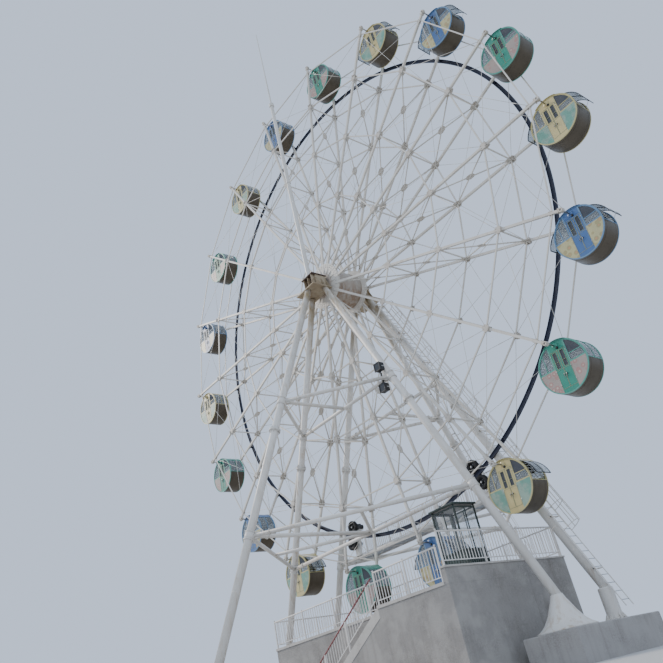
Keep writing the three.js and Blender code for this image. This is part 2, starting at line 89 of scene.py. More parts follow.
def camera():
    """The photograph's view: a 36 mm sensor over a square picture, close to the ground, looking up."""
    data = bpy.data.cameras.new("view")
    data.sensor_width = 36
    data.lens = 36.972
    data.shift_x = -0.00754
    data.clip_end = 300
    view = bpy.data.objects.new("view", data)
    view.location = (21.3613, -20.9469, 0.3884)
    view.rotation_euler = (2.0742677, 0.1995888, 0.9230359)
    link(view)
    bpy.context.scene.camera = view


# Mesh making

AXLE, UP = (0, 1, 0), (0, 0, 1)


class Shape:
    """Blocks of corners and of faces, kept as arrays until they become one mesh."""

    def __init__(self):
        self.corners, self.blocks, self.count = [], [], 0

    def add(self, part, finish=0, smooth=False):
        """A part's corners and faces, with the place of its finish in the list given to made."""
        corners, faces = part
        corners = corners.reshape(-1, 3)
        for face in faces:
            self.blocks.append((face + self.count, finish, smooth))
        self.corners.append(corners)
        self.count += len(corners)

    def joined(self, other, shift=(0, 0, 0), flip=False):
        """Another shape's blocks, moved by shift, or first mirrored in y and turned inside out."""
        scale = np.array([1, -1 if flip else 1, 1])
        for face, finish, smooth in other.blocks:
            self.blocks.append(((face[:, ::-1] if flip else face) + self.count, finish, smooth))
        self.corners.append(np.concatenate(other.corners) * scale + np.array(shift))
        self.count += other.count
        return self

    def made(self, name, finishes, body, replaces=(), slot=None, bevel=0):
        """The mesh object, riding on its body."""
        mesh = bpy.data.meshes.new(name)
        corners = np.concatenate(self.corners).astype(np.float32)
        loops = np.concatenate([faces.reshape(-1) for faces, _, _ in self.blocks]).astype(np.int32)
        counts = [len(faces) for faces, _, _ in self.blocks]
        sizes = np.repeat([faces.shape[1] for faces, _, _ in self.blocks], counts).astype(np.int32)
        looks = np.repeat([finish for _, finish, _ in self.blocks], counts).astype(np.int32)
        smooths = np.repeat([smooth for _, _, smooth in self.blocks], counts).astype(bool)
        mesh.vertices.add(len(corners))
        mesh.vertices.foreach_set("co", corners.reshape(-1))
        mesh.loops.add(len(loops))
        mesh.loops.foreach_set("vertex_index", loops)
        mesh.polygons.add(len(sizes))
        mesh.polygons.foreach_set("loop_start", (np.cumsum(sizes) - sizes).astype(np.int32))
        mesh.polygons.foreach_set("loop_total", sizes)
        mesh.polygons.foreach_set("material_index", looks)
        mesh.polygons.foreach_set("use_smooth", smooths)
        for finish in finishes:
            mesh.materials.append(MATERIALS[finish])
        mesh.update(calc_edges=True)
        mesh.validate()
        piece = bpy.data.objects.new(name, mesh)
        link(piece)
        if bevel:
            edges = piece.modifiers.new("edges", "BEVEL")
            edges.width, edges.segments, edges.limit_method = bevel, 2, "ANGLE"
            edges.harden_normals = False
        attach(piece, body)
        if replaces:
            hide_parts(*replaces)


def unit(v):
    """Vectors divided by their length."""
    return v / np.maximum(np.linalg.norm(v, axis=-1, keepdims=True), 1e-12)


def around(count, turn=0.0):
    """Angles spread evenly over a full turn."""
    return turn + np.arange(count) * 2 * math.pi / count


def across(along):
    """Two unit directions square to each direction, with first x second = along."""
    along = unit(np.atleast_2d(along).astype(float))
    ref = np.where(np.abs(along[:, 2:3]) < 0.9, np.array([[0, 0, 1.0]]), np.array([[1.0, 0, 0]]))
    first = unit(np.cross(along, ref))
    return first, np.cross(along, first)


def grid_faces(nu, nv, close_u=False):
    """Four-sided faces between the points of an nu by nv grid that closes in v, and in u where wanted."""
    i = np.arange(nu if close_u else nu - 1)[:, None]
    j = np.arange(nv)[None]
    k, m = (i + 1) % nu, (j + 1) % nv
    return np.stack([i * nv + j, i * nv + m, k * nv + m, k * nv + j], -1).reshape(-1, 4)


def prism_walls(count, n):
    """Faces of count prisms of 2 n corners each: every first corner, the steps from it, and the walls."""
    base = (np.arange(count) * 2 * n)[:, None]
    j = np.arange(n)[None]
    k = (j + 1) % n
    return base, j, np.stack([base + j, base + k, base + n + k, base + n + j], -1).reshape(-1, 4)


def tubes(a, b, radius, sides=8):
    """Straight bars: the circle a + r(cos u first + sin u second), the same at b, and a flat cap each end."""
    a, b = np.broadcast_arrays(np.atleast_2d(a).astype(float), np.atleast_2d(b).astype(float))
    first, second = across(b - a)
    u = around(sides)[None, :, None]
    ring = radius * (np.cos(u) * first[:, None] + np.sin(u) * second[:, None])
    corners = np.stack([a[:, None] + ring, b[:, None] + ring], 1)
    base, j, walls = prism_walls(len(a), sides)
    return corners, [walls, base + j[:, ::-1], base + sides + j]


def bars(a, b, wide, high, up=UP):
    """Straight bars of rectangular section; wide lies square to up, high along it."""
    a, b = np.broadcast_arrays(np.atleast_2d(a).astype(float), np.atleast_2d(b).astype(float))
    along = unit(b - a)
    side = unit(np.cross(along, np.broadcast_to(up, along.shape)))
    w, h = wide / 2 * side, high / 2 * np.cross(side, along)
    ring = np.stack([-w - h, w - h, w + h, -w + h], 1)
    corners = np.stack([a[:, None] + ring, b[:, None] + ring], 1)
    base, j, walls = prism_walls(len(a), 4)
    return corners, [walls[:, [0, 3, 2, 1]], base + j, base + 4 + j[:, ::-1]]


def blocks(low, high):
    """Boxes between pairs of opposite corners."""
    low, high = np.atleast_2d(low).astype(float), np.atleast_2d(high).astype(float)
    pick = np.array([[0, 0, 0], [1, 0, 0], [1, 1, 0], [0, 1, 0], [0, 0, 1], [1, 0, 1], [1, 1, 1], [0, 1, 1]])
    corners = np.where(pick[None] == 1, high[:, None], low[:, None])
    side = np.array([[0, 3, 2, 1], [4, 5, 6, 7], [0, 1, 5, 4], [1, 2, 6, 5], [2, 3, 7, 6], [3, 0, 4, 7]])
    return corners, [((np.arange(len(low)) * 8)[:, None, None] + side).reshape(-1, 4)]


def slabs(outline, offset):
    """Flat plates: each outline and its copy at outline + offset, with walls between."""
    outline = np.asarray(outline, float)
    if outline.ndim == 2:
        outline = outline[None]
    offset = np.broadcast_to(np.asarray(offset, float), (len(outline), 3))
    n = outline.shape[1]
    area = np.cross(outline - outline[:, :1], np.roll(outline, -1, 1) - outline[:, :1]).sum(1)
    backwards = (area * offset).sum(-1) < 0
    outline = np.where(backwards[:, None, None], outline[:, ::-1], outline)
    corners = np.stack([outline, outline + offset[:, None]], 1)
    base, j, walls = prism_walls(len(outline), n)
    return corners, [walls, base + j[:, ::-1], base + n + j]


def turned(profile, centre, axis=AXLE, sides=32, closed=False):
    """A profile of (along the axis, radius) turned round the axis through centre."""
    axis = np.asarray(axis, float)
    first, second = across(axis)
    u = around(sides)[:, None]
    ring = np.cos(u) * first + np.sin(u) * second
    profile = np.asarray(profile, float)
    corners = np.asarray(centre, float) + profile[:, None, :1] * axis + profile[:, None, 1:] * ring[None]
    faces = [grid_faces(len(profile), sides, closed)]
    if not closed:
        last = (len(profile) - 1) * sides
        faces += [np.arange(sides)[None, ::-1], last + np.arange(sides)[None]]
    return corners, faces


def carried(path, section, up):
    """A closed section of (sideways, upwards) carried along a path, sideways being path direction x up."""
    path, section = np.asarray(path, float), np.asarray(section, float)
    along = unit(np.gradient(path, axis=0))
    side = unit(np.cross(along, np.broadcast_to(up, along.shape)))
    top = np.cross(side, along)
    corners = path[:, None] + section[None, :, :1] * side[:, None] + section[None, :, 1:] * top[:, None]
    n = len(section)
    ends = [np.arange(n)[None], (len(path) - 1) * n + np.arange(n)[None, ::-1]]
    return corners, [grid_faces(len(path), n)[:, ::-1], *ends]


def circle(radius, sides):
    """The corners (r cos u, r sin u) of a round section."""
    u = around(sides)
    return np.stack([radius * np.cos(u), radius * np.sin(u)], 1)


def outward(t):
    """The unit direction (cos t, 0, sin t), away from the axle at angle t."""
    return np.stack([np.cos(t), 0 * t, np.sin(t)], -1)


def crosswise(t):
    """The unit direction (-sin t, 0, cos t), along the rim at angle t."""
    return np.stack([-np.sin(t), 0 * t, np.cos(t)], -1)


def on_wheel(r, t, y):
    """The point at radius r, angle t and depth y: (r cos t, y, HUB + r sin t)."""
    r, t, y = np.broadcast_arrays(np.asarray(r, float), t, y)
    return np.stack([r * np.cos(t), y, HUB + r * np.sin(t)], -1)


def round_y(centre, radius, count, turn=0.0):
    """Points spread over a circle round y: centre + radius (cos u, 0, sin u)."""
    return np.asarray(centre, float) + radius * outward(around(count, turn))


def round_z(centre, radius, count):
    """Points spread over a level circle: centre + radius (cos u, sin u, 0)."""
    u = around(count)
    return np.asarray(centre, float) + radius * np.stack([np.cos(u), np.sin(u), 0 * u], -1)


def corners_of(a, b):
    """The four corners (a, b) of a rectangle round the origin."""
    return (a, b), (-a, b), (a, -b), (-a, -b)


def arc_slab(r0, r1, a0, a1, y0, y1, steps):
    """Part of a ring round y: a rectangle from r0 to r1 and y0 to y1, swung from a0 to a1 degrees."""
    a = np.radians(np.linspace(a0, a1, steps + 1))[:, None]
    radius, depth = np.array([[r0, r1, r1, r0]]), np.array([[y0, y0, y1, y1]])
    corners = np.stack([radius * np.cos(a), depth + 0 * a, radius * np.sin(a)], -1)
    ends = np.array([[3, 2, 1, 0]])
    return corners, [grid_faces(steps + 1, 4), ends, steps * 4 + ends[:, ::-1]]


def bolts(at, axis, radius=0.018, high=0.014):
    """Hexagon heads standing on a surface."""
    at = np.atleast_2d(at).astype(float)
    axis = unit(np.broadcast_to(np.asarray(axis, float), at.shape))
    return tubes(at - axis * 0.004, at + axis * high, radius, 6)


def post(x, y, half, z0, z1):
    """An upright square bar round (x, y)."""
    return blocks((x - half, y - half, z0), (x + half, y + half, z1))


# Materials

FLOAT, COLOR = "NodeSocketFloat", "NodeSocketColor"
COLOUR_AND_MASK = [("Color", COLOR), ("Mask", FLOAT)]
MATERIALS = {}


def node_group(name, inputs, outputs):
    """An empty shader group with its sockets; returns the group, its input node and its output node."""
    group = bpy.data.node_groups.new(name, "ShaderNodeTree")
    for label, kind, value in inputs:
        socket = group.interface.new_socket(label, in_out="INPUT", socket_type=kind)
        socket.default_value = value
    for label, kind in outputs:
        group.interface.new_socket(label, in_out="OUTPUT", socket_type=kind)
    return group, group.nodes.new("NodeGroupInput"), group.nodes.new("NodeGroupOutput")


def feed(tree, socket, value):
    """Links a socket to another one, or sets it to a plain value."""
    if isinstance(value, bpy.types.NodeSocket):
        tree.links.new(value, socket)
    else:
        socket.default_value = value


def place(tree, kind, **values):
    """A new node with its settings, and its inputs where the name starts with in_."""
    node = tree.nodes.new(kind)
    for key, value in values.items():
        if key.startswith("in_"):
            feed(tree, node.inputs[key[3:]], value)
        else:
            setattr(node, key, value)
    return node


def object_place(tree):
    """Where a point lies on its own object, in metres; returns the socket."""
    return place(tree, "ShaderNodeTexCoord").outputs["Object"]


def ramp(tree, value, low, high, start=0.0, end=1.0):
    """A value spread so that low becomes start and high becomes end; returns the socket."""
    node = place(tree, "ShaderNodeMapRange", in_Value=value)
    for label, given in (("From Min", low), ("From Max", high), ("To Min", start), ("To Max", end)):
        feed(tree, node.inputs[label], given)
    return node.outputs["Result"]


def noise_mask(tree, vector, scale, low, high, detail=5.0, rough=0.6):
    """Noise turned into a mask that is 0 under low and 1 over high; returns the socket."""
    noise = place(tree, "ShaderNodeTexNoise", in_Vector=vector, in_Scale=scale, in_Detail=detail,
                  in_Roughness=rough)
    return ramp(tree, noise.outputs["Fac"], low, high)


def product(tree, a, b):
    """One value times another; returns the socket."""
    node = place(tree, "ShaderNodeMath", operation="MULTIPLY")
    for socket, value in zip(node.inputs, (a, b)):
        feed(tree, socket, value)
    return node.outputs[0]


def blend_colours(tree, factor, a, b):
    """Colour a turning into colour b as the factor grows; returns the socket."""
    node = place(tree, "ShaderNodeMix", data_type="RGBA")
    for index, value in ((0, factor), (6, a), (7, b)):
        feed(tree, node.inputs[index], value)
    return node.outputs[2]


def lay_stain(group, inn, out, mask, stain="Stain"):
    """The group's results: the clean colour under a stain as strong as mask times Amount, and that mask."""
    strength = product(group, mask, inn.outputs["Amount"])
    colour = blend_colours(group, strength, inn.outputs["Clean"], inn.outputs[stain])
    feed(group, out.inputs["Color"], colour)
    feed(group, out.inputs["Mask"], strength)


def grime_group():
    """Soft blotches of grime over a clean colour, with finer speckle inside them."""
    group, inn, out = node_group("grime", [
        ("Clean", COLOR, (1, 1, 1, 1)), ("Grime", COLOR, (0.1, 0.08, 0.06, 1)),
        ("Amount", FLOAT, 0.5), ("Size", FLOAT, 1.0)], COLOUR_AND_MASK)
    where = object_place(group)
    broad = noise_mask(group, where, inn.outputs["Size"], 0.42, 0.72)
    fine = noise_mask(group, where, 23.0, 0.3, 0.75, 3.0)
    lay_stain(group, inn, out, product(group, broad, fine), "Grime")
    return group


def streak_group():
    """Stains that have run straight down: noise squeezed sideways and drawn out along z."""
    group, inn, out = node_group("streaks", [
        ("Clean", COLOR, (1, 1, 1, 1)), ("Stain", COLOR, (0.3, 0.16, 0.06, 1)),
        ("Amount", FLOAT, 0.5), ("Size", FLOAT, 4.0)], COLOUR_AND_MASK)
    where = object_place(group)
    drawn = place(group, "ShaderNodeMapping", in_Vector=where, in_Scale=(1, 1, 0.07))
    runs = noise_mask(group, drawn.outputs[0], inn.outputs["Size"], 0.5, 0.75, 4.0)
    broad = noise_mask(group, where, 0.35, 0.4, 0.65, 2.0)
    lay_stain(group, inn, out, product(group, runs, broad))
    return group


def height_stain_and_shade_group():
    """Stains and painted shade that thicken from one height to another, broken up by noise drawn out along z.
    """
    group, inn, out = node_group("height_stains", [
        ("Clean", COLOR, (1, 1, 1, 1)), ("Stain", COLOR, (0.3, 0.2, 0.08, 1)), ("Amount", FLOAT, 0.5),
        ("None At", FLOAT, 0.0), ("Full At", FLOAT, 1.0)], COLOUR_AND_MASK)
    where = object_place(group)
    split = place(group, "ShaderNodeSeparateXYZ", in_Vector=where)
    level = ramp(group, split.outputs["Z"], inn.outputs["None At"], inn.outputs["Full At"])
    drawn = place(group, "ShaderNodeMapping", in_Vector=where, in_Scale=(1, 1, 0.25))
    runs = noise_mask(group, drawn.outputs[0], 5.0, 0.3, 0.62, 4.0)
    lay_stain(group, inn, out, product(group, runs, level))
    return group


def grain_group():
    """Fine height: two sizes of noise, for a brushed or rolled coat."""
    sizes = [("Coarse", FLOAT, 6.0), ("Fine", FLOAT, 60.0)]
    group, inn, out = node_group("grain", sizes, [("Height", FLOAT)])
    where = object_place(group)
    coarse = noise_mask(group, where, inn.outputs["Coarse"], 0.2, 0.8, 3.0)
    fine = noise_mask(group, where, inn.outputs["Fine"], 0.2, 0.8, 2.0)
    both = place(group, "ShaderNodeMath", operation="MULTIPLY_ADD")
    for index, value in enumerate((fine, 0.35, coarse)):
        feed(group, both.inputs[index], value)
    feed(group, out.inputs["Height"], both.outputs[0])
    return group


GROUPS = {"grime": grime_group(), "streaks": streak_group(), "height_stains": height_stain_and_shade_group(),
          "grain": grain_group()}


def use(tree, name, **values):
    """One of the groups placed in a material, with its own values; an underscore stands for a space."""
    node = tree.nodes.new("ShaderNodeGroup")
    node.node_tree = GROUPS[name]
    for key, value in values.items():
        feed(tree, node.inputs[key.replace("_", " ")], value)
    return node


def new_material(name):
    """An empty material, kept under its name; returns its node tree and its Principled shader."""
    material = bpy.data.materials.new(name)
    material.use_nodes = True
    MATERIALS[name] = material
    return material.node_tree, material.node_tree.nodes["Principled BSDF"]


def finish(name, colour, rough=0.45, metal=0.0, grime=(0.09, 0.075, 0.06), dirt=0.5, size=0.8,
           stain=(0.26, 0.13, 0.05), runs=0.0, run_size=5.0, bump=0.08, coarse=6.0, fine=60.0, coat=0.0,
           second=None, second_size=1.0, height=None):
    """A finish: base colour, perhaps patched with a second one, grime, run stains, stains and painted shade
    that thicken between two heights, and grain.
    """
    tree, shader = new_material(name)
    shader.inputs["Metallic"].default_value = metal
    shader.inputs["Coat Weight"].default_value = coat
    clean = (*colour, 1)
    if second:
        patches = noise_mask(tree, object_place(tree), second_size, 0.44, 0.56, 3.0)
        clean = blend_colours(tree, patches, clean, (*second, 1))
    dirty = use(tree, "grime", Clean=clean, Grime=(*grime, 1), Amount=dirt, Size=size)
    shown = use(tree, "streaks", Clean=dirty.outputs["Color"], Stain=(*stain, 1), Amount=runs, Size=run_size)
    # darkening between two heights: real stains on the legs, painted shade on the hub's underside
    if height:
        none_at, full_at, tint, amount = height
        shown = use(tree, "height_stains", Clean=shown.outputs["Color"], Stain=(*tint, 1), Amount=amount,
                    None_At=none_at, Full_At=full_at)
    feed(tree, shader.inputs["Base Color"], shown.outputs["Color"])
    gloss = ramp(tree, dirty.outputs["Mask"], 0, 1, rough, min(1, rough + 0.35))
    feed(tree, shader.inputs["Roughness"], gloss)
    if bump:
        grain = use(tree, "grain", Coarse=coarse, Fine=fine)
        relief = place(tree, "ShaderNodeBump", in_Strength=bump, in_Distance=0.02,
                       in_Height=grain.outputs["Height"])
        feed(tree, shader.inputs["Normal"], relief.outputs["Normal"])


def glass(name, tint, see=0.75, rough=0.06):
    """Thin dusty pane: clear plastic with grime that dulls it."""
    tree, shader = new_material(name)
    shader.inputs["Transmission Weight"].default_value = see
    shader.inputs["IOR"].default_value = 1.2
    dirty = use(tree, "grime", Clean=(*tint, 1), Grime=(0.35, 0.32, 0.28, 1), Amount=0.5, Size=1.5)
    feed(tree, shader.inputs["Base Color"], dirty.outputs["Color"])
    feed(tree, shader.inputs["Roughness"], ramp(tree, dirty.outputs["Mask"], 0, 1, rough, rough + 0.3))


def picture_panel(name, ground, marks, accent):
    """A printed side panel: soft rings and petals of two colours on a pale ground, a design of no meaning."""
    tree, shader = new_material(name)
    cells = place(tree, "ShaderNodeTexVoronoi", in_Vector=object_place(tree), in_Scale=4.2,
                  in_Randomness=0.75)
    petals = ramp(tree, cells.outputs["Distance"], 0.42, 0.36)
    hearts = ramp(tree, cells.outputs["Distance"], 0.2, 0.16)
    first = blend_colours(tree, product(tree, petals, 0.55), (*ground, 1), (*marks, 1))
    both = blend_colours(tree, product(tree, hearts, 0.7), first, (*accent, 1))
    dirty = use(tree, "grime", Clean=both, Grime=(0.2, 0.17, 0.13, 1), Amount=0.5, Size=2.0)
    feed(tree, shader.inputs["Base Color"], dirty.outputs["Color"])
    shader.inputs["Roughness"].default_value = 0.4


def wheel_finishes():
    """Paint of the turning wheel, its hub and bearings, and the dark drive ring with its tyres."""
    finish("wheel_white", (0.68, 0.65, 0.59), 0.42, grime=(0.28, 0.22, 0.16), dirt=0.55, size=1.1, runs=0.35,
           stain=(0.34, 0.2, 0.1), run_size=7)
    finish("gusset", (0.58, 0.54, 0.48), 0.5, grime=(0.32, 0.24, 0.16), dirt=0.6, size=3, runs=0.4)
    # hub_beige: the brown darkening from 19.2 m down to 18.2 m is painted shade on the underside of the
    # turning hub
    finish("hub_beige", (0.50, 0.47, 0.42), 0.5, 0.1, grime=(0.22, 0.14, 0.08), dirt=0.9, size=0.9, runs=0.7,
           stain=(0.3, 0.19, 0.1), run_size=4, second=(0.42, 0.37, 0.31), second_size=0.7,
           height=(19.2, 18.2, (0.27, 0.155, 0.085), 0.8))
    finish("bearing_white", (0.66, 0.62, 0.55), 0.5, 0.1, grime=(0.26, 0.16, 0.08), dirt=0.9, size=3.0,
           runs=0.5, stain=(0.36, 0.22, 0.1))
    finish("navy", (0.010, 0.014, 0.036), 0.55, grime=(0.03, 0.032, 0.045), dirt=0.4, size=1.5)
    finish("navy_bolt", (0.03, 0.035, 0.055), 0.4, 0.4, grime=(0.08, 0.07, 0.06), dirt=0.5, size=4)
    finish("rubber", (0.014, 0.014, 0.015), 0.8, grime=(0.09, 0.08, 0.07), dirt=0.7, size=5, bump=0.2,
           coarse=30)


def tripod_finishes():
    """Paint of the legs, mast and bearing heads, and the metals and dark housings fitted to them."""
    finish("leg_white", (0.74, 0.72, 0.68), 0.4, grime=(0.34, 0.26, 0.18), dirt=0.5, size=0.5, runs=0.7,
           stain=(0.42, 0.26, 0.09), run_size=6, height=(14.8, 18.0, (0.36, 0.25, 0.09), 0.85))
    finish("mast_white", (0.72, 0.71, 0.68), 0.4, grime=(0.34, 0.28, 0.2), dirt=0.5, size=0.7, runs=0.5,
           stain=(0.36, 0.26, 0.14), run_size=5)
    finish("head_tan", (0.37, 0.29, 0.19), 0.6, 0.1, grime=(0.15, 0.09, 0.045), dirt=0.85, size=2.0, runs=0.7,
           stain=(0.2, 0.12, 0.05), second=(0.46, 0.39, 0.28), second_size=1.3, bump=0.25)
    # near-black finish for the head's top plate and bearing covers: painted shade, standing in for the shaded
    # faces of the plate
    finish("cap_painted_shade", (0.09, 0.06, 0.05), 0.55, 0.1, grime=(0.2, 0.14, 0.1), dirt=0.8, size=2, bump=0.15)
    finish("steel", (0.5, 0.49, 0.47), 0.35, 0.9, grime=(0.12, 0.09, 0.06), dirt=0.7, size=4)
    finish("galvanised", (0.55, 0.56, 0.57), 0.45, 0.75, grime=(0.3, 0.28, 0.25), dirt=0.6, size=3,
           second=(0.47, 0.49, 0.51), second_size=30)
    finish("black", (0.012, 0.012, 0.013), 0.4, 0.1, grime=(0.07, 0.065, 0.06), dirt=0.5, size=4)
    finish("lamp_face", (0.05, 0.055, 0.06), 0.12, 0.3, dirt=0.4, size=6, bump=0)


def boarding_finishes():
    """Render, concrete and stone of the platform and stair, and the paint of the rails and the booth."""
    finish("render", (0.31, 0.292, 0.272), 0.85, grime=(0.11, 0.095, 0.08), dirt=0.75, size=0.7, runs=0.6,
           stain=(0.15, 0.13, 0.11), run_size=3, second=(0.37, 0.35, 0.325), second_size=0.9, bump=0.5,
           coarse=9, fine=130)
    finish("concrete", (0.40, 0.38, 0.36), 0.85, grime=(0.16, 0.14, 0.12), dirt=0.7, size=1.4, runs=0.5,
           stain=(0.2, 0.17, 0.14), bump=0.5, coarse=14, fine=150)
    finish("coping", (0.52, 0.49, 0.45), 0.7, grime=(0.2, 0.17, 0.14), dirt=0.6, size=2.5, bump=0.3,
           coarse=20)
    finish("tread", (0.55, 0.52, 0.48), 0.7, grime=(0.2, 0.17, 0.14), dirt=0.7, size=3, bump=0.3, coarse=24)
    finish("riser", (0.2, 0.12, 0.1), 0.7, grime=(0.1, 0.08, 0.07), dirt=0.7, size=3, bump=0.3, coarse=24)
    finish("tile", (0.42, 0.38, 0.35), 0.65, grime=(0.16, 0.13, 0.11), dirt=0.7, size=1.2, bump=0.25,
           coarse=18, second=(0.36, 0.33, 0.31), second_size=1.9)
    finish("booth_frame", (0.025, 0.04, 0.034), 0.4, 0.3, grime=(0.09, 0.085, 0.075), dirt=0.5, size=2)
    finish("booth_panel", (0.10, 0.13, 0.12), 0.5, 0.1, grime=(0.06, 0.05, 0.045), dirt=0.6, size=2)
    finish("rail_white", (0.74, 0.72, 0.69), 0.45, grime=(0.35, 0.28, 0.22), dirt=0.6, size=3, runs=0.4)
    finish("handrail_red", (0.22, 0.05, 0.05), 0.4, grime=(0.1, 0.06, 0.05), dirt=0.5, size=4)


def cabin_paints():
    """The three cabin colours with their trims, the metal belly, lining, guards, side panels and panes, one
    of them dark with painted shade.
    """
    finish("yellow", (0.62, 0.52, 0.24), 0.38, grime=(0.28, 0.22, 0.12), dirt=0.5, size=2, runs=0.3, coat=0.3)
    finish("blue", (0.055, 0.14, 0.34), 0.38, grime=(0.07, 0.08, 0.1), dirt=0.5, size=2, runs=0.3, coat=0.3,
           stain=(0.06, 0.08, 0.1))
    finish("green", (0.02, 0.27, 0.18), 0.38, grime=(0.06, 0.1, 0.08), dirt=0.5, size=2, runs=0.3, coat=0.3,
           stain=(0.06, 0.1, 0.08))
    finish("olive_trim", (0.30, 0.32, 0.20), 0.45, 0.1, grime=(0.12, 0.12, 0.08), dirt=0.6, size=5)
    finish("trim_yellow", (0.55, 0.49, 0.24), 0.4, 0.1, grime=(0.25, 0.22, 0.12), dirt=0.5, size=3)
    finish("trim_blue", (0.15, 0.27, 0.42), 0.4, 0.1, grime=(0.1, 0.13, 0.17), dirt=0.5, size=3)
    finish("trim_green", (0.10, 0.36, 0.28), 0.4, 0.1, grime=(0.1, 0.16, 0.13), dirt=0.5, size=3)
    finish("belly", (0.115, 0.097, 0.072), 0.36, 0.8, grime=(0.035, 0.028, 0.02), dirt=0.6, size=1.3,
           runs=0.4, stain=(0.035, 0.027, 0.018), bump=0.08, coarse=3)
    finish("lining", (0.42, 0.40, 0.38), 0.7, grime=(0.25, 0.22, 0.2), dirt=0.4, size=2)
    finish("guard_white", (0.80, 0.80, 0.77), 0.35, grime=(0.4, 0.37, 0.32), dirt=0.5, size=6)
    finish("teal_panel", (0.16, 0.36, 0.28), 0.42, grime=(0.1, 0.14, 0.11), dirt=0.6, size=3,
           second=(0.3, 0.42, 0.34), second_size=2.5)
    glass("pane", (0.62, 0.66, 0.68))
    glass("clear_pane", (0.93, 0.95, 0.96), 0.95, 0.02)
    # a dark, half-clear pane: painted shade of the dim inside, seen through the right-hand upper panes and
    # the door windows
    glass("pane_painted_shade", (0.12, 0.13, 0.15), 0.35)
    picture_panel("panel_blue", (0.52, 0.48, 0.26), (0.3, 0.24, 0.10), (0.62, 0.30, 0.16))
    picture_panel("panel_green", (0.40, 0.33, 0.29), (0.46, 0.18, 0.16), (0.60, 0.56, 0.45))


wheel_finishes()
tripod_finishes()
boarding_finishes()
cabin_paints()


# Cabins, drawn round the middle of their drum

# the last of these is a dark pane that paints the shade of the dim inside
PAINT, PANEL, BELLY, ROOF, PANE, TRIM, GUARD, LINING, DARK, RIMS, METAL, LOWER_PANEL, PAINTED_SHADE_PANE = range(13)
CABIN_PAINTS = ("yellow", "blue", "green")
SKIN = 0.03
INNER = DRUM - SKIN
DOOR = 0.31  # half the width of the door column
DOOR_END = 71.05  # where that column meets the skin, in degrees from level
SILL_Z, HEAD_Z = -0.78, 0.62
STILE = 0.36  # where a side window starts
PANE_R = 0.93  # radius of its panes
PANEL_END, PANEL_Z = -16, -0.2632  # lower end of the upper side panel: degrees on the skin, and height
LEAF_WINDOW = (0.07, 0.235, -0.04, 0.575)  # x and z of the narrow window in a door leaf
BEAD = 0.01


def cabin_finishes(colour):
    """The finishes of a cabin of one colour, in the order of the names above."""
    lower = "teal_panel" if colour == "yellow" else f"panel_{colour}"
    return [colour, lower, "belly", colour, "pane", "olive_trim", "guard_white", "lining", "black",
            f"trim_{colour}", "steel", lower, "pane_painted_shade"]


def flat(points, y=-HALF, deep=SKIN):
    """An outline of (x, z) points pushed from y along +y."""
    points = np.asarray(points, float)
    return slabs(np.stack([points[:, 0], np.full(len(points), y), points[:, 1]], 1), (0, deep, 0))


def rect(x0, x1, z0, z1, y=-HALF, deep=SKIN):
    """A box between two values of x in either order, from z0 to z1, and from y to y + deep."""
    return blocks((min(x0, x1), y, z0), (max(x0, x1), y + deep, z1))


def arc_points(radius, a0, a1, steps):
    """Points (r cos a, r sin a) from a0 to a1 degrees."""
    a = np.radians(np.linspace(a0, a1, steps + 1))
    return np.stack([radius * np.cos(a), radius * np.sin(a)], 1)


def side_panels(shape, s):
    """The two printed panels below a side window, from the door column out to radius INNER."""
    scale = np.array([s, 1])
    upper = np.concatenate([[[DOOR, 0.0]], arc_points(INNER, 0, PANEL_END, 6), [[DOOR, PANEL_Z]]])
    shape.add(flat(upper * scale), PANEL)
    lower = np.concatenate([[[DOOR, PANEL_Z]], arc_points(INNER, PANEL_END, -DOOR_END, 14)])
    shape.add(flat(lower * scale), LOWER_PANEL)


def side_frame(shape, s):
    """A side window's frame: stile, sill, curved rail, and a bar, level on the right, upright on the left."""
    shape.add(rect(s * DOOR, s * STILE, 0.0, 0.905), RIMS)
    sill = np.array([[STILE, 0], [INNER, 0], [0.952, 0.05], [STILE, 0.05]])
    shape.add(flat(sill * (s, 1)), RIMS)
    start, end = (3, 67.6) if s > 0 else (112.4, 177)
    shape.add(arc_slab(0.925, INNER, start, end, -HALF, -HALF + SKIN, 16), RIMS)
    x0, x1, z0, z1 = (STILE, 0.885, 0.30, 0.325) if s > 0 else (0.62, 0.645, 0.05, 0.68)
    shape.add(rect(s * x0, s * x1, z0, z1, -HALF + 0.004, 0.018), RIMS)


def side_panes(shape, s):
    """The two panes of a side window, one over the other; turn is where their edge reaches the split."""
    edge, split = STILE - 0.005, 0.3125
    turn = math.degrees(math.asin(split / PANE_R))
    under = np.concatenate([[[edge, 0.045]], arc_points(PANE_R, 2.8, turn, 6), [[edge, split]]])
    over = np.concatenate([[[edge, split + 0.001]], arc_points(PANE_R, turn + 0.1, 67.5, 12)])
    shape.add(flat(under * (s, 1), -HALF + 0.012, 0.005), PANE)
    # the right window's upper pane is the dark pane, painted shade of the dim inside, where the left one is
    # clear
    shape.add(flat(over * (s, 1), -HALF + 0.012, 0.005), PANE if s < 0 else PAINTED_SHADE_PANE)


def guard_waves(shape, s):
    """Wavy bars behind a side window: bar k follows z + 0.022 sin(20 x + 1.3 k) out to the pane's edge."""
    start = STILE - 0.01
    x = np.linspace(start, PANE_R, 25)
    top, pitch = (0.3, 0.065) if s > 0 else (0.80, 0.095)
    for k, z in enumerate(np.arange(0.11, top, pitch)):
        reach = math.sqrt(max(PANE_R ** 2 - (z + 0.03) ** 2, 0.4 ** 2))
        xs = start + (x - start) * (reach - start) / (PANE_R - start)
        wave = z + 0.022 * np.sin(xs * 20 + k * 1.3)
        path = np.stack([s * xs, np.full(len(x), -HALF + 0.05), wave], 1)
        shape.add(carried(path, circle(0.009, 5), (0, 1, 0)), GUARD, True)


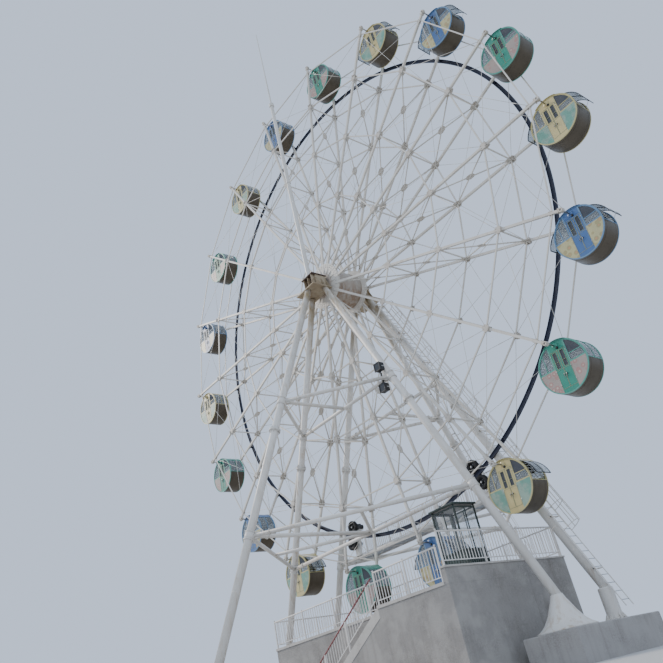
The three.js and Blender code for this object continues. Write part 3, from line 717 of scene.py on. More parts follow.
def leaf_shape(s):
    """Half a door: a plain panel below, a narrow window above, raised borders, hinges and latch."""
    shape = Shape()
    edge = 0.003
    x0, x1, low, top = LEAF_WINDOW
    for a, b, z0, z1 in ((edge, DOOR, SILL_Z, low), (edge, DOOR, top, HEAD_Z), (edge, x0, low, top),
                         (x1, DOOR, low, top)):
        shape.add(rect(s * a, s * b, z0, z1), PAINT)
    lap = 0.005
    # the leaf's window is the dark pane: painted shade of the dim inside
    shape.add(rect(s * (x0 - lap), s * (x1 + lap), low - lap, top + lap, -HALF + 0.012, 0.005), PAINTED_SHADE_PANE)
    leaf_borders(shape, s)
    leaf_fittings(shape, s)
    return shape


def leaf_borders(shape, s):
    """Beading round the window and across it, then strips along the leaf's edges and under the window."""
    x0, x1, low, top = LEAF_WINDOW
    proud = -HALF - 0.006
    a, b = x0 + BEAD, x1 - BEAD
    for left, right, z0, z1 in ((x0, a, low, top), (b, x1, low, top), (a, b, low, low + BEAD),
                                (a, b, top - BEAD, top), (a, b, 0.20, 0.212)):
        shape.add(rect(s * left, s * right, z0, z1, proud, 0.026), TRIM)
    near, far = 0.004, 0.304
    a, b = near + BEAD, far - BEAD
    for left, right, z0, z1 in ((near, a, SILL_Z, HEAD_Z), (b, far, SILL_Z, HEAD_Z), (a, b, -0.09, -0.08),
                                (a, b, HEAD_Z - 0.012, HEAD_Z), (a, b, SILL_Z, SILL_Z + 0.012)):
        shape.add(rect(s * left, s * right, z0, z1, proud + 0.001, 0.012), TRIM)


def leaf_fittings(shape, s):
    """Three hinge knuckles on the hinge's own axis, and a latch with a bar handle on two pegs."""
    for z in (-0.6, -0.1, 0.5):
        hinge = np.array([s * DOOR, -HALF, z])
        shape.add(tubes(hinge - (0, 0, 0.05), hinge + (0, 0, 0.05), 0.011, 12), METAL, True)
    shape.add(rect(s * 0.03, s * 0.085, -0.335, -0.295, -HALF - 0.018, 0.018), DARK)
    grip = np.array([s * 0.05, -HALF - 0.03, -0.33])
    shape.add(tubes(grip - (0, 0, 0.09), grip + (0, 0, 0.09), 0.008, 8), METAL, True)
    for z in (-0.07, 0.07):
        shape.add(tubes([grip + (0, 0.03, z)], [grip + (0, 0, z)], 0.006, 6), METAL)


def cabin_face(boarding):
    """The front of a drum: side windows, the door column, shut doors unless it is boarding, and the rim."""
    shape = Shape()
    for s in (-1, 1):
        side_panels(shape, s)
        side_frame(shape, s)
        side_panes(shape, s)
        guard_waves(shape, s)
        if not boarding:
            shape.joined(leaf_shape(s))
    head, sill = HEAD_Z + 0.003, SILL_Z - 0.001
    for corners, start in (([[-DOOR, head], [DOOR, head]], DOOR_END),
                           ([[DOOR, sill], [-DOOR, sill]], 180 + DOOR_END)):
        arc = arc_points(INNER, start, start + 180 - 2 * DOOR_END, 10)
        shape.add(flat(np.concatenate([corners, arc])), PAINT)
    y0, y1 = -HALF - 0.012, -HALF + SKIN
    hoop = [(y0, DRUM + 0.006), (y1, DRUM + 0.006), (y1, INNER - 0.004), (y0, INNER - 0.004)]
    shape.add(turned(hoop, (0, 0, 0), (0, 1, 0), 72, True), RIMS)
    face_fittings(shape)
    return shape


def face_fittings(shape):
    """Drip edge over the door, a small round lamp, and the bolted pivot plate."""
    shape.add(arc_slab(DRUM, DRUM + 0.01, 62, 118, -HALF - 0.05, -HALF, 16), PAINT)
    dome = [(0, 0.05), (0.02, 0.05), (0.045, 0.036), (0.055, 0.012)]
    shape.add(turned(dome, (0.06, -HALF, 0.70), (0, -1, 0), 16), DARK, True)
    plate = [(0, 0.115), (0.02, 0.115), (0.025, 0.105), (0.03, 0.06), (0.06, 0.056)]
    shape.add(turned(plate, (0, -HALF, DROP), (0, -1, 0), 24), PAINT, True)
    at = round_y((0, -HALF - 0.022, DROP), 0.09, 6, math.pi / 6)
    shape.add(bolts(at, (0, -1, 0), 0.012, 0.01), RIMS)


FLAP_HINGE = np.array([0.694, 0.694])
FLAP_SWING = math.radians(22)
WINDOW = (-7, 45)  # lower and upper end of a window in the drum's side, in degrees from level
BARREL, SASH = 0.442, 0.40  # half the length of the curved wall, and of the windows in it


def swung(part, s):
    """A part of the closed right window, swung out about its top edge, and mirrored in x for the left one."""
    corners, faces = part
    corners = corners.reshape(-1, 3)
    dx, dz = corners[:, 0] - FLAP_HINGE[0], corners[:, 2] - FLAP_HINGE[1]
    c, w = math.cos(FLAP_SWING), math.sin(FLAP_SWING)
    out = np.stack([s * (FLAP_HINGE[0] + dx * c - dz * w), corners[:, 1], FLAP_HINGE[1] + dx * w + dz * c], 1)
    return out, [face[:, ::-1] if s < 0 else face for face in faces]


def flap(s):
    """A curved window of the drum's side, swung out, with its frame, middle bar and two stays."""
    shape = Shape()
    low, top = WINDOW
    edge, back = 1.8, 0.961
    for y0, y1 in ((-0.413, -0.385), (0.385, 0.413), (-0.012, 0.012)):
        shape.add(swung(arc_slab(back, DRUM, low, top, y0, y1, 14), s), DARK)
    for y0, y1 in ((-0.385, -0.012), (0.012, 0.385)):
        shape.add(swung(arc_slab(back, DRUM, low, low + edge, y0, y1, 1), s), DARK)
        shape.add(swung(arc_slab(back, DRUM, top - edge, top, y0, y1, 1), s), DARK)
        shape.add(swung(arc_slab(0.970, 0.975, low + edge, top - edge, y0, y1, 12), s), PANE)
    x, z = FLAP_HINGE
    shape.add(tubes((s * x, -0.41, z), (s * x, 0.41, z), 0.012, 10), METAL, True)
    rest = 0.945 * outward(math.radians(4))
    for y in (-0.392, 0.392):
        tip = 0.965 * outward(math.radians(9)) + (0, y, 0)
        shape.add(tubes(swung((tip, []), s)[0], [(s * rest[0], y, rest[2])], 0.007, 6), METAL)
    return shape


def drum_walls(shape):
    """Roof above, metal belly below with two seams, a lining under the roof and a ridge along its middle."""
    low, top = WINDOW
    shape.add(arc_slab(INNER, DRUM, top, 180 - top, -BARREL, BARREL, 30), ROOF)
    shape.add(arc_slab(INNER, DRUM, 180 - low, 360 + low, -BARREL, BARREL, 56), BELLY)
    shape.add(arc_slab(INNER - 0.006, INNER - 0.001, top + 1, 179 - top, -0.44, 0.44, 30), LINING)
    for y in (-0.3, 0.3):
        shape.add(arc_slab(DRUM, DRUM + 0.003, 180 - low, 360 + low, y - 0.006, y + 0.006, 56), BELLY)
    shape.add(arc_slab(DRUM, DRUM + 0.008, top, 180 - top, -0.01, 0.01, 24), ROOF)


def drum_window(shape, s, is_open):
    """The window in one side of the drum: frame, guard rods, a shut or an open pane, and the bench below."""
    low, top = WINDOW
    a0, a1 = (low, top) if s > 0 else (180 - top, 180 - low)
    rods = np.radians([-2, 6, 14, 22, 30, 38])
    for y0, y1 in ((-BARREL, -SASH), (SASH, BARREL)):
        shape.add(arc_slab(INNER, DRUM, a0, a1, y0, y1, 14), RIMS)
    for a in (a0 + 0.4, a1 - 1.9):
        shape.add(arc_slab(INNER, DRUM + 0.004, a, a + 1.5, -SASH, SASH, 1), RIMS)
    at = 0.935 * outward(rods) * (s, 1, 1)
    shape.add(tubes(at - (0, 0.44, 0), at + (0, 0.44, 0), 0.010, 8), GUARD, True)
    shape.add(arc_slab(0.92, 0.93, a0 + 2, a1 - 2, -0.01, 0.01, 12), GUARD)
    if is_open:
        shape.joined(flap(s))
    else:
        shape.add(arc_slab(INNER + 0.004, DRUM, a0, a1, -0.014, 0.014, 14), RIMS)
        shape.add(arc_slab(0.966, 0.972, a0, a1, -SASH, SASH, 14), PANE)
    shape.add(rect(s * 0.5, s * 0.85, -0.40, -0.355, -0.42, 0.84), LINING)


def drum_barrel(open_left, open_right):
    """The curved wall between the faces with its two side windows, and the floor."""
    shape = Shape()
    drum_walls(shape)
    drum_window(shape, 1, open_right)
    drum_window(shape, -1, open_left)
    shape.add(blocks((-0.55, -0.44, SILL_Z - 0.02), (0.55, 0.44, SILL_Z)), LINING)
    return shape


def cabin_place(n):
    """The middle of cabin n's drum, DROP under its pivot; cabin 4 is the level one on the right."""
    t = PHASE + (4 - n) * STEP
    return np.array([PIVOT * math.cos(t), CABIN_Y, HUB + PIVOT * math.sin(t) - DROP])


OPEN_RIGHT = {1, 2, 4, 5, 7, 8, 10}
OPEN_LEFT = {1, 2, 4, 5, 8}
BOARDING = 9


def cabins():
    """Every cabin in one of three paints, and the boarding cabin's two door leaves as pieces of their own."""
    faces = {False: cabin_face(False), True: cabin_face(True)}
    for n in range(1, CABINS + 1):
        colour = CABIN_PAINTS[(n - 1) % 3]
        at = cabin_place(n)
        shape = Shape()
        shape.joined(faces[n == BOARDING], at)
        shape.joined(faces[False], at, True)
        shape.joined(drum_barrel(n in OPEN_LEFT, n in OPEN_RIGHT), at)
        for side in (-1, 1):
            root, tip = at + (0, side * (HALF + 0.03), DROP), np.array([at[0], side * 0.952, at[2] + DROP])
            shape.add(tubes(root, tip, 0.0315, 16), METAL, True)
        name = f"cabin_{n:02d}"
        shape.made(f"{name}_dressed", cabin_finishes(colour), name, (name,), f"cabin_{colour}")
    for s, word in ((-1, "left"), (1, "right")):
        node = f"cabin_{BOARDING:02d}_{word}_door"
        leaf = Shape().joined(leaf_shape(s), cabin_place(BOARDING))
        leaf.made(f"{node}_dressed", cabin_finishes("green"), node, (node,), "cabin_green")


# Turning wheel

ARMS = PHASE + np.arange(CABINS) * STEP
BETWEEN = ARMS + STEP / 2
ARM_OUT, ARM_SIDE = outward(ARMS), crosswise(ARMS)
CENTRE = (0, 0, HUB)


def radial_plates(r, y, long, wide, thick=0.014):
    """Eight-cornered plates in the plane of each spoke and the axle, centred at radius r and depth y."""
    u = np.array([-0.5, -0.22, 0.22, 0.5, 0.5, 0.22, -0.22, -0.5])
    w = np.array([-0.22, -0.5, -0.5, -0.22, 0.22, 0.5, 0.5, 0.22])
    out = on_wheel(r + long * u, ARMS[:, None], y + wide * w)
    square = ARM_SIDE * thick
    return slabs(out - square[:, None] / 2, square)


def face_plates(r, y, size, thick):
    """Hexagonal plates flat against one face of the wheel, one on each spoke."""
    a = around(6)[:, None]
    ring = np.cos(a) * ARM_OUT[:, None] + 0.8 * np.sin(a) * ARM_SIDE[:, None]
    return slabs(on_wheel(r, ARMS, y)[:, None] + size * ring, (0, thick, 0))


def truss_braces():
    """Crossed bars between the front and rear spoke of each arm, with a plate where they cross."""
    shape = Shape()
    for r0, r1 in ((1.3, RINGS[0]), RINGS[:2], RINGS[1:]):
        for y in (-0.85, 0.85):
            shape.add(tubes(on_wheel(r0, ARMS, y), on_wheel(r1, ARMS, -y), 0.03, 8), 0, True)
        middle = (r0 + r1) / 2
        long, wide = (0.42, 0.30) if r0 > 2 else (0.36, 0.26)
        shape.add(radial_plates(middle, 0.0, long, wide), 1)
        for dr, dy in corners_of(0.1, 0.06):
            at = on_wheel(middle + dr, ARMS, dy)
            for way in (ARM_SIDE, -ARM_SIDE):
                shape.add(bolts(at + way * 0.007, way, 0.014, 0.012), 2)
    shape.made("truss_braces", ["wheel_white", "gusset", "steel"], "wheel", slot="wheel_paint")


def node_plates():
    """Gusset plates, bolts and flanged joints along the spokes."""
    shape = Shape()
    thick, joint = 0.014, 11.1
    for r in RINGS:
        for s in (-1, 1):
            y = s * FACE_Y
            shape.add(face_plates(r, y + s * 0.051 - (thick if s < 0 else 0), 0.2, thick), 0)
            shape.add(radial_plates(r, y - s * 0.12, 0.44, 0.2, 0.016), 0)
            for dr, dt in corners_of(0.1, 0.06):
                shape.add(bolts(on_wheel(r + dr, ARMS + dt / r, y + s * 0.065), (0, s, 0), 0.016), 1)
    for y in (-FACE_Y, FACE_Y):
        for r in (joint - 0.035, joint - 0.008):
            mid = on_wheel(r, ARMS, y)
            shape.add(bars(mid, mid + ARM_OUT * 0.022, 0.21, 0.21, AXLE), 0)
        for dt, dy in corners_of(0.078, 0.078):
            for lift, way in ((0.014, ARM_OUT), (-0.035, -ARM_OUT)):
                shape.add(bolts(on_wheel(joint + lift, ARMS + dt / joint, y + dy), way, 0.014), 1)
    shape.made("spoke_plates", ["gusset", "steel"], "wheel", slot="wheel_paint")


def stays():
    """Thin tie rods crossed between neighbouring arms on both faces, each with a tightening sleeve."""
    shape = Shape()
    for y in (-FACE_Y, FACE_Y):
        for r0, r1 in (RINGS[:2], RINGS[1:], (RINGS[2], RIM)):
            for turn in (STEP, -STEP):
                a, b = on_wheel(r0, ARMS, y), on_wheel(r1, ARMS + turn, y)
                shape.add(tubes(a, b, 0.010, 5), 0, True)
                shape.add(tubes(a + (b - a) * 0.80, a + (b - a) * 0.85, 0.016, 6), 0)
    shape.made("tie_rods", ["wheel_white"], "wheel", slot="wheel_paint")


def tip_bearings():
    """Round bearing housings on the spoke ends, with caps, feet and clamped rim rods."""
    shape = Shape()
    housing = [(-0.085, 0.075), (-0.07, 0.088), (0.07, 0.088), (0.085, 0.075), (0.085, 0.045),
               (-0.085, 0.045)]
    for y in (-FACE_Y, FACE_Y):
        for middle in on_wheel(PIVOT, ARMS, y):
            shape.add(turned(housing, middle, AXLE, 20, True), 0, True)
        foot = on_wheel(PIVOT - 0.13, ARMS, y)
        shape.add(bars(foot, foot + ARM_OUT * 0.05, 0.17, 0.16, AXLE), 0)
        for way in (-ARM_SIDE, ARM_SIDE):
            near = on_wheel(RIM - 0.06, ARMS, y) + way * 0.05
            far = near + way * 0.02
            shape.add(bars(near, far, 0.16, 0.12, AXLE), 1)
            for lift in (0.05, -0.05):
                shape.add(bolts(far + ARM_OUT * lift, way, 0.012, 0.012), 2)
    shape.made("tip_bearings", ["bearing_white", "gusset", "steel"], "wheel", slot="wheel_paint")


def hub_dressed():
    """Hub: a wide drum between eighteen-sided flanges, journals outside, ribs, spoke sockets and bolts."""
    shape = Shape()
    journal = [(-1.00, 0.60), (-0.98, 0.635), (-0.94, 0.64), (0.94, 0.64), (0.98, 0.635), (1.00, 0.60),
               (1.00, 0.26), (-1.00, 0.26)]
    shape.add(turned(journal, CENTRE, AXLE, 48, True), 1, True)
    drum = [(-0.8295, 0.5), (-0.8295, 0.899), (0.8295, 0.899), (0.8295, 0.5)]
    shape.add(turned(drum, CENTRE, AXLE, 72, True), 1)
    for y in (-0.42, 0.0, 0.42):
        weld = [(y - 0.02, 0.898), (y - 0.008, 0.906), (y + 0.008, 0.906), (y + 0.02, 0.898)]
        shape.add(turned(weld, CENTRE, AXLE, 72, True), 1, True)
    for y in (-0.95, 0.83):
        shape.add(slabs(on_wheel(1.15 / math.cos(STEP / 2), BETWEEN, y), (0, 0.12, 0)), 0)
    rib_r, rib_y = np.array([0.63, 0.98, 0.66, 0.63]), np.array([0.95, 0.95, 0.995, 0.995])
    for s in (-1, 1):
        shape.add(slabs(on_wheel(rib_r, BETWEEN[:, None], s * rib_y), crosswise(BETWEEN) * 0.016), 0)
        for r in (0.98, 1.08):
            for dt in (-0.085, 0.085):
                shape.add(bolts(on_wheel(r, ARMS + dt, s * 0.95), (0, s, 0), 0.02, 0.02), 2)
        for aside in (-0.058075, 0.058075):
            mid = on_wheel(1.10, ARMS, s * FACE_Y) + ARM_SIDE * aside
            shape.add(bars(mid, mid + ARM_OUT * 0.5, 0.11, 0.012, ARM_SIDE), 0)
    shape.made("hub_dressed", ["wheel_white", "hub_beige", "steel"], "wheel", ("wheel_hub",), "wheel_paint")


def drive_ring_dressed():
    """Round rail of I section with splice plates, on a bracket at every rear spoke."""
    shape = Shape()
    r0, r1, y = 12.120, 12.289, RING_Y
    rail = [(0.04, r1), (0.04, r1 - 0.02), (0.009, r1 - 0.022), (0.009, r0 + 0.022), (0.04, r0 + 0.02),
            (0.04, r0)]
    section = [(y + w, r) for w, r in rail] + [(y - w, r) for w, r in reversed(rail)]
    shape.add(turned(section, CENTRE, AXLE, 216, True), 0)
    side = crosswise(BETWEEN) * 0.16
    mid = on_wheel(RING_R, BETWEEN, y - 0.014)
    shape.add(bars(mid - side, mid + side, 0.1, 0.01, AXLE), 0)
    for dt in (-0.11, -0.04, 0.04, 0.11):
        for dr in (-0.03, 0.03):
            at = on_wheel(RING_R + dr, BETWEEN + dt / 12.2, y - 0.019)
            shape.add(bolts(at, (0, -1, 0), 0.01, 0.01), 1)
    a, b = on_wheel(RING_R, ARMS, FACE_Y + 0.05), on_wheel(RING_R, ARMS, y - 0.009)
    for end, wide, high in ((b, 0.08, 0.02), (b, 0.02, 0.10), (a + (0, 0.012, 0), 0.14, 0.14)):
        shape.add(bars(a, end, wide, high, ARM_SIDE), 0)
    shape.made("drive_ring_dressed", ["navy", "navy_bolt"], "wheel", ("drive_ring",), "ring_paint")


# Tripods

def leg_point(sx, sy, z):
    """The middle of a leg at height z: side legs spread 0.4443 m a metre in x, outriggers 0.443 m in y."""
    down = HUB - z
    return np.array([sx * (0.282 + 0.4443 * down), sy * (HEAD_Y if sx else OUTRIGGER_Y + 0.443 * down), z])


def leg_joint(shape, joint, axis):
    """Two round flanges on a leg with sixteen bolts through them, and eight fins on each."""
    for near, far in ((-0.045, -0.004), (0.004, 0.045)):
        shape.add(turned([(near, 0.239), (far, 0.239)], joint, axis, 32), 0, True)
    first, second = across(axis)
    for k, u in enumerate(around(16)):
        out = math.cos(u) * first[0] + math.sin(u) * second[0]
        aside = math.cos(u) * second[0] - math.sin(u) * first[0]
        for way in (axis, -axis):
            shape.add(bolts(joint + 0.21 * out + way * 0.045, way, 0.018, 0.016), 1)
        if k % 2 == 0:
            root, tip = joint + (LEG_R - 0.005) * out, joint + 0.232 * out
            for way in (-axis, axis):
                fin = [root + way * 0.045, tip + way * 0.045, root + way * 0.22]
                shape.add(slabs([fin], 0.01 * aside), 0)


def leg_skirt(shape, low):
    """The foot of a front leg: a skirt that flares down to a wide rim."""
    cone = [(0, 0.945), (0.04, 0.945), (0.05, 0.915), (0.12, 0.79), (0.22, 0.67), (0.35, 0.56), (0.5, 0.46),
            (0.7, 0.355), (0.88, 0.255), (1.0, 0.205), (1.04, 0.19)]
    shape.add(turned(cone, low, UP, 48), 0, True)


def leg_stub(shape, low):
    """The foot of a rear leg: a straight stub on a round plate with twelve bolts and as many fins."""
    stub = [(0, 0.38), (0.035, 0.38), (0.036, 0.258), (1.02, 0.258), (1.04, 0.24), (1.06, 0.17)]
    shape.add(turned(stub, low, UP, 40), 0)
    count, plate, top = 12, low + (0, 0, 0.035), low + (0, 0, 0.25)
    shape.add(bolts(round_z(plate, 0.33, count), UP, 0.022, 0.03), 1)
    fins = np.stack([round_z(plate, 0.25, count), round_z(plate, 0.37, count), round_z(top, 0.25, count)], 1)
    u = around(count)
    shape.add(slabs(fins, np.stack([-np.sin(u), np.cos(u), 0 * u], 1) * 0.012), 0)


def leg_block(shape, sx, sy, foot):
    """The concrete block under a foot, 2 m long with its top edges cut off; a side leg's reaches to y = 0."""
    near = foot[1] - sy if sx == 0 else sy * GAP / 2
    y0, y1 = sorted((near, foot[1] + sy))
    x0, x1 = foot[0] - 1, foot[0] + 1
    corners = np.array([[(x1 - r, y1 - r, z), (x0 + r, y1 - r, z), (x0 + r, y0 + r, z), (x1 - r, y0 + r, z)]
                        for z, r in ((0, 0), (BLOCK - 0.03, 0), (BLOCK, 0.03))])
    shape.add((corners, [grid_faces(3, 4), np.array([[3, 2, 1, 0]]), np.array([[8, 9, 10, 11]])]), 2)


def leg_dressed(word, sx, sy):
    """A leg: round tube with a bolted joint and weld rings, a flared skirt or a stub below it, on a block."""
    shape = Shape()
    foot, head = leg_point(sx, sy, KNEE), leg_point(sx, sy, SADDLE - 0.07)
    axis = unit(head - foot)
    shape.add(tubes(leg_point(sx, sy, KNEE - 0.15), head, LEG_R, 32), 0, True)
    leg_joint(shape, leg_point(sx, sy, LEG_JOINT), axis)
    weld = [(-0.012, LEG_R), (-0.005, LEG_R + 0.0045), (0.005, LEG_R + 0.0045), (0.012, LEG_R)]
    for z in LEG_WELDS:
        shape.add(turned(weld, leg_point(sx, sy, z), axis, 32), 0, True)
    low = np.array([foot[0], foot[1], BLOCK])
    if sy < 0:
        leg_skirt(shape, low)
    else:
        leg_stub(shape, low)
    leg_block(shape, sx, sy, foot)
    shape.made(f"{word}_dressed", ["leg_white", "steel", "concrete"], "base", (word,), "leg_paint")


def tie_collar(shape, low, top):
    """A clamp round a leg from low to top, with a hoop near each end."""
    high = float(np.linalg.norm(top - low))
    axis = unit(top - low)
    ring = [(0, 0.182), (high, 0.182), (high, LEG_R + 0.003), (0, LEG_R + 0.003)]
    shape.add(turned(ring, low, axis, 28, True), 0, True)
    for far in (0.02, high - 0.02):
        hoop = [(far - 0.014, 0.198), (far + 0.014, 0.198), (far + 0.014, 0.178), (far - 0.014, 0.178)]
        shape.add(turned(hoop, low, axis, 28, True), 0)


def tie_end(shape, corner, way):
    """Where a tie leaves a leg: a fin under it and one above, and a bolted flange further along."""
    start = corner + way * 0.18
    for lift in (-1, 1):
        near, far = np.array([0, 0, lift * TIE_R * 0.9]), np.array([0, 0, lift * (TIE_R + 0.055)])
        fin = [start + near, start + far, start + way * 0.3 + near]
        shape.add(slabs([fin], np.cross(way, UP) * 0.012), 0)
    flange = corner + way * 0.75
    shape.add(turned([(-0.016, TIE_R + 0.036), (0.016, TIE_R + 0.036)], flange, way, 20), 0, True)
    first, second = across(way)
    u = around(8)[:, None]
    at = flange + (TIE_R + 0.02) * (np.cos(u) * first + np.sin(u) * second)
    shape.add(bolts(at + way * 0.016, way, 0.009, 0.01), 1)


def ties_dressed(word, sy, z, braced):
    """Level triangle of tubes with one median strut, or three, gusseted to clamped collars on the legs."""
    shape = Shape()
    outer, left, right = [leg_point(sx, sy, z) for sx in (0, -1, 1)]
    middle = np.array([0, sy * HEAD_Y, z])
    shape.add(tubes([outer, outer, left, outer], [left, right, right, middle], TIE_R, 20), 0, True)
    if braced:
        halfway = [(outer + left) / 2, (outer + right) / 2]
        shape.add(tubes(halfway, [middle, middle], TIE_R - 0.01, 20), 0, True)
    for sx in (-1, 0, 1):
        tie_collar(shape, leg_point(sx, sy, z - 0.155), leg_point(sx, sy, z + 0.155))
    for p, q in ((outer, left), (outer, right), (left, right), (left, outer), (right, outer), (right, left),
                 (outer, middle)):
        tie_end(shape, p, unit(q - p))
    shape.made(f"{word}_dressed", ["leg_white", "steel"], "base", (word,), "leg_paint")


def head_dressed(word, sy):
    """Bearing head: saddle plate with ribs, boxed housing with round bearing covers, and a plate on top;
    covers and plate are near-black with painted shade.
    """
    shape = Shape()
    middle, under, deep = sy * HEAD_Y, CAP - 0.05, 0.32
    y0, y1 = sorted((sy * 1.06, sy * 2.25))
    shape.add(blocks((-0.72, y0, SADDLE - 0.06), (0.72, y1, SADDLE - 0.001)), 0)
    shape.add(blocks((-0.40, middle - deep, SADDLE), (0.40, middle + deep, under)), 0)
    y0, y1 = sorted((sy * (HEAD_Y - 0.36), sy * (OUTRIGGER_Y + 0.18)))
    # top plate in the near-black cap finish, which is painted shade
    shape.add(blocks((-0.45, y0, CAP - 0.048), (0.45, y1, CAP)), 1)
    near, far = middle + sy * deep, middle + sy * 0.54
    for x in (-0.312, -0.012, 0.288):
        fin = [(x, near, SADDLE), (x, far, SADDLE), (x, far, under), (x, near, under)]
        shape.add(slabs([fin], (0.024, 0, 0)), 0)
    for s in (-1, 1):
        for y in (middle - 0.29, middle, middle + 0.27):
            fin = [(s * 0.40, y, SADDLE), (s * 0.68, y, SADDLE), (s * 0.43, y, HUB + 0.1),
                   (s * 0.40, y, HUB + 0.1)]
            shape.add(slabs([fin], (0, 0.024, 0)), 0)
    cover = [(0, 0.34), (0.012, 0.34), (0.014, 0.30), (0.018, 0.252)]
    for way in (-1, 1):
        shape.add(turned(cover, (0, middle + way * deep, HUB - 0.06), (0, way, 0), 40), 1, True)
        at = round_y((0, middle + way * (deep + 0.012), HUB - 0.06), 0.32, 12)
        shape.add(bolts(at, (0, way, 0), 0.012), 2)
    at = [(x, middle + sy * y, SADDLE) for x in (-0.66, -0.58, 0.58, 0.66) for y in (-0.2, -0.1, 0.45, 0.6)]
    shape.add(bolts(at, UP, 0.02, 0.018), 2)
    shape.made(f"{word}_dressed", ["head_tan", "cap_painted_shade", "steel"], "base", (word,), "bearing_brown",
               bevel=0.006)


def mast_dressed():
    """Lightning mast: a stepped pole with collars on a ribbed foot."""
    shape = Shape()
    low = np.array([0, -OUTRIGGER_Y, CAP + GAP])
    plate = low + (0, 0, 0.03)
    shape.add(post(low[0], low[1], 0.149, low[2], plate[2]), 0)
    pole = [(0.03, 0.13), (0.25, 0.113), (6.2, 0.110), (6.2, 0.135), (6.26, 0.135), (6.26, 0.105),
            (12.16, 0.095), (12.16, 0.145), (12.36, 0.145), (12.38, 0.045), (18.6, 0.022), (18.66, 0.006)]
    shape.add(turned(pole, low, UP, 20), 0)
    for a in around(4):
        way = np.array([math.cos(a), math.sin(a), 0])
        fin = [plate + way * 0.1, plate + way * 0.148, low + way * 0.1 + (0, 0, 0.3)]
        shape.add(slabs([fin], np.cross(UP, way) * 0.01), 0)
        corner = np.array([math.cos(a + 0.785), math.sin(a + 0.785), 0])
        shape.add(bolts(plate + 0.17 * corner, UP, 0.012, 0.012), 1)
    shape.made("lightning_mast_dressed", ["mast_white", "steel"], "base", ("lightning_mast",), "leg_paint")


# Fittings on the tripods

LADDER_OFF = 0.30  # from a leg's middle line to its ladder


def ladder_dressed(name, sx):
    """Leg ladder: flat stiles, round rungs every 300 mm, stand-off arms with pads, and a hooped cage."""
    shape = Shape()
    way, spread = np.array([(1, 0, 0), (0, 1, 0)] if sx else [(0, 1, 0), (1, 0, 0)])
    shift = 0.09 * sx

    def at(z, off, aside=0.0):
        """The point at off from the leg's middle line and aside from the ladder's, level with z."""
        return leg_point(sx, 1, z) + way * off + spread * (aside + shift)

    low, top = BLOCK + 0.35, SADDLE - 0.5
    for aside in (-0.23, 0.23):
        shape.add(bars(at(low, LADDER_OFF, aside), at(top, LADDER_OFF, aside), 0.045, 0.02, way), 0)
    rungs = np.array([at(h, LADDER_OFF) for h in np.arange(low + 0.2, top - 0.05, 0.3)])
    shape.add(tubes(rungs - spread * 0.225, rungs + spread * 0.225, 0.013, 8), 1, True)
    arms = np.array([at(KNEE + 0.65 + i * 2.1, 0) for i in range(8)])
    for aside in (-0.20, 0.20):
        shape.add(bars(arms + way * 0.12 + spread * aside, arms + way * 0.29 + spread * aside, 0.04, 0.04), 0)
    shape.add(bars(arms + way * 0.21 - spread * 0.22, arms + way * 0.21 + spread * 0.22, 0.07, 0.03), 0)
    slope = unit(leg_point(sx, 1, 10) - leg_point(sx, 1, 5))
    out = way * slope[2] - np.array([0, 0, slope @ way])

    def bow(degrees):
        """Way from a hoop's root to its points: 0.62 cos a outwards, and half its width times sin a aside."""
        a = np.radians(degrees)[..., None]
        return 0.62 * np.cos(a) * out + (0.34 - shift) * np.sin(a) * spread

    heights = np.arange(4.2, top - 0.1, 0.85)
    for h in heights:
        start, end = at(h, LADDER_OFF + 0.01, -0.24), at(h, LADDER_OFF + 0.01, 0.24)
        path = np.concatenate([[start], at(h, LADDER_OFF + 0.02) + bow(np.linspace(-90, 90, 13)), [end]])
        shape.add(carried(path, circle(0.013, 6), slope), 0, True)
    lowest, highest = at(heights[0], LADDER_OFF + 0.02), at(heights[-1], LADDER_OFF + 0.02)
    for degrees in (-72, -36, 0, 36, 72):
        shape.add(bars(lowest + bow(degrees), highest + bow(degrees), 0.03, 0.006, spread), 0)
    shape.made(f"{name}_dressed", ["leg_white", "galvanised"], "base", (name,), "leg_paint")


def flood_lamp(shape, x, y, z0, z1):
    """A lamp from z0 to z1: finned housing, glass in a hood, and a yoke with two pivots."""
    shape.add(blocks((x - 0.165, y - 0.452, z0 + 0.015), (x + 0.165, y - 0.22, z1 - 0.015)), 0)
    for u in x - 0.16 + np.arange(9) * 0.04:
        shape.add(blocks((u - 0.004, y - 0.222, z0 + 0.03), (u + 0.004, y - 0.184, z1 - 0.03)), 0)
    shape.add(blocks((x - 0.145, y - 0.46, z0 + 0.04), (x + 0.145, y - 0.45, z1 - 0.04)), 1)
    for left, right, low, top in ((-0.18, -0.145, z0, z1), (0.145, 0.18, z0, z1),
                                  (-0.145, 0.145, z1 - 0.035, z1), (-0.145, 0.145, z0, z0 + 0.035)):
        shape.add(blocks((x + left, y - 0.48, low), (x + right, y - 0.44, top)), 0)
    mid = (z0 + z1) / 2
    for s in (-1, 1):
        arm = x + s * 0.171
        shape.add(bars((arm, y - 0.33, mid), (arm, y - 0.185, mid), 0.010, 0.04), 2)
        shape.add(bolts((x + s * 0.168, y - 0.33, mid), (s, 0, 0), 0.016, 0.01), 2)
    shape.add(blocks((x - 0.172, y - 0.192, mid - 0.02), (x + 0.172, y - 0.181, mid + 0.02)), 2)


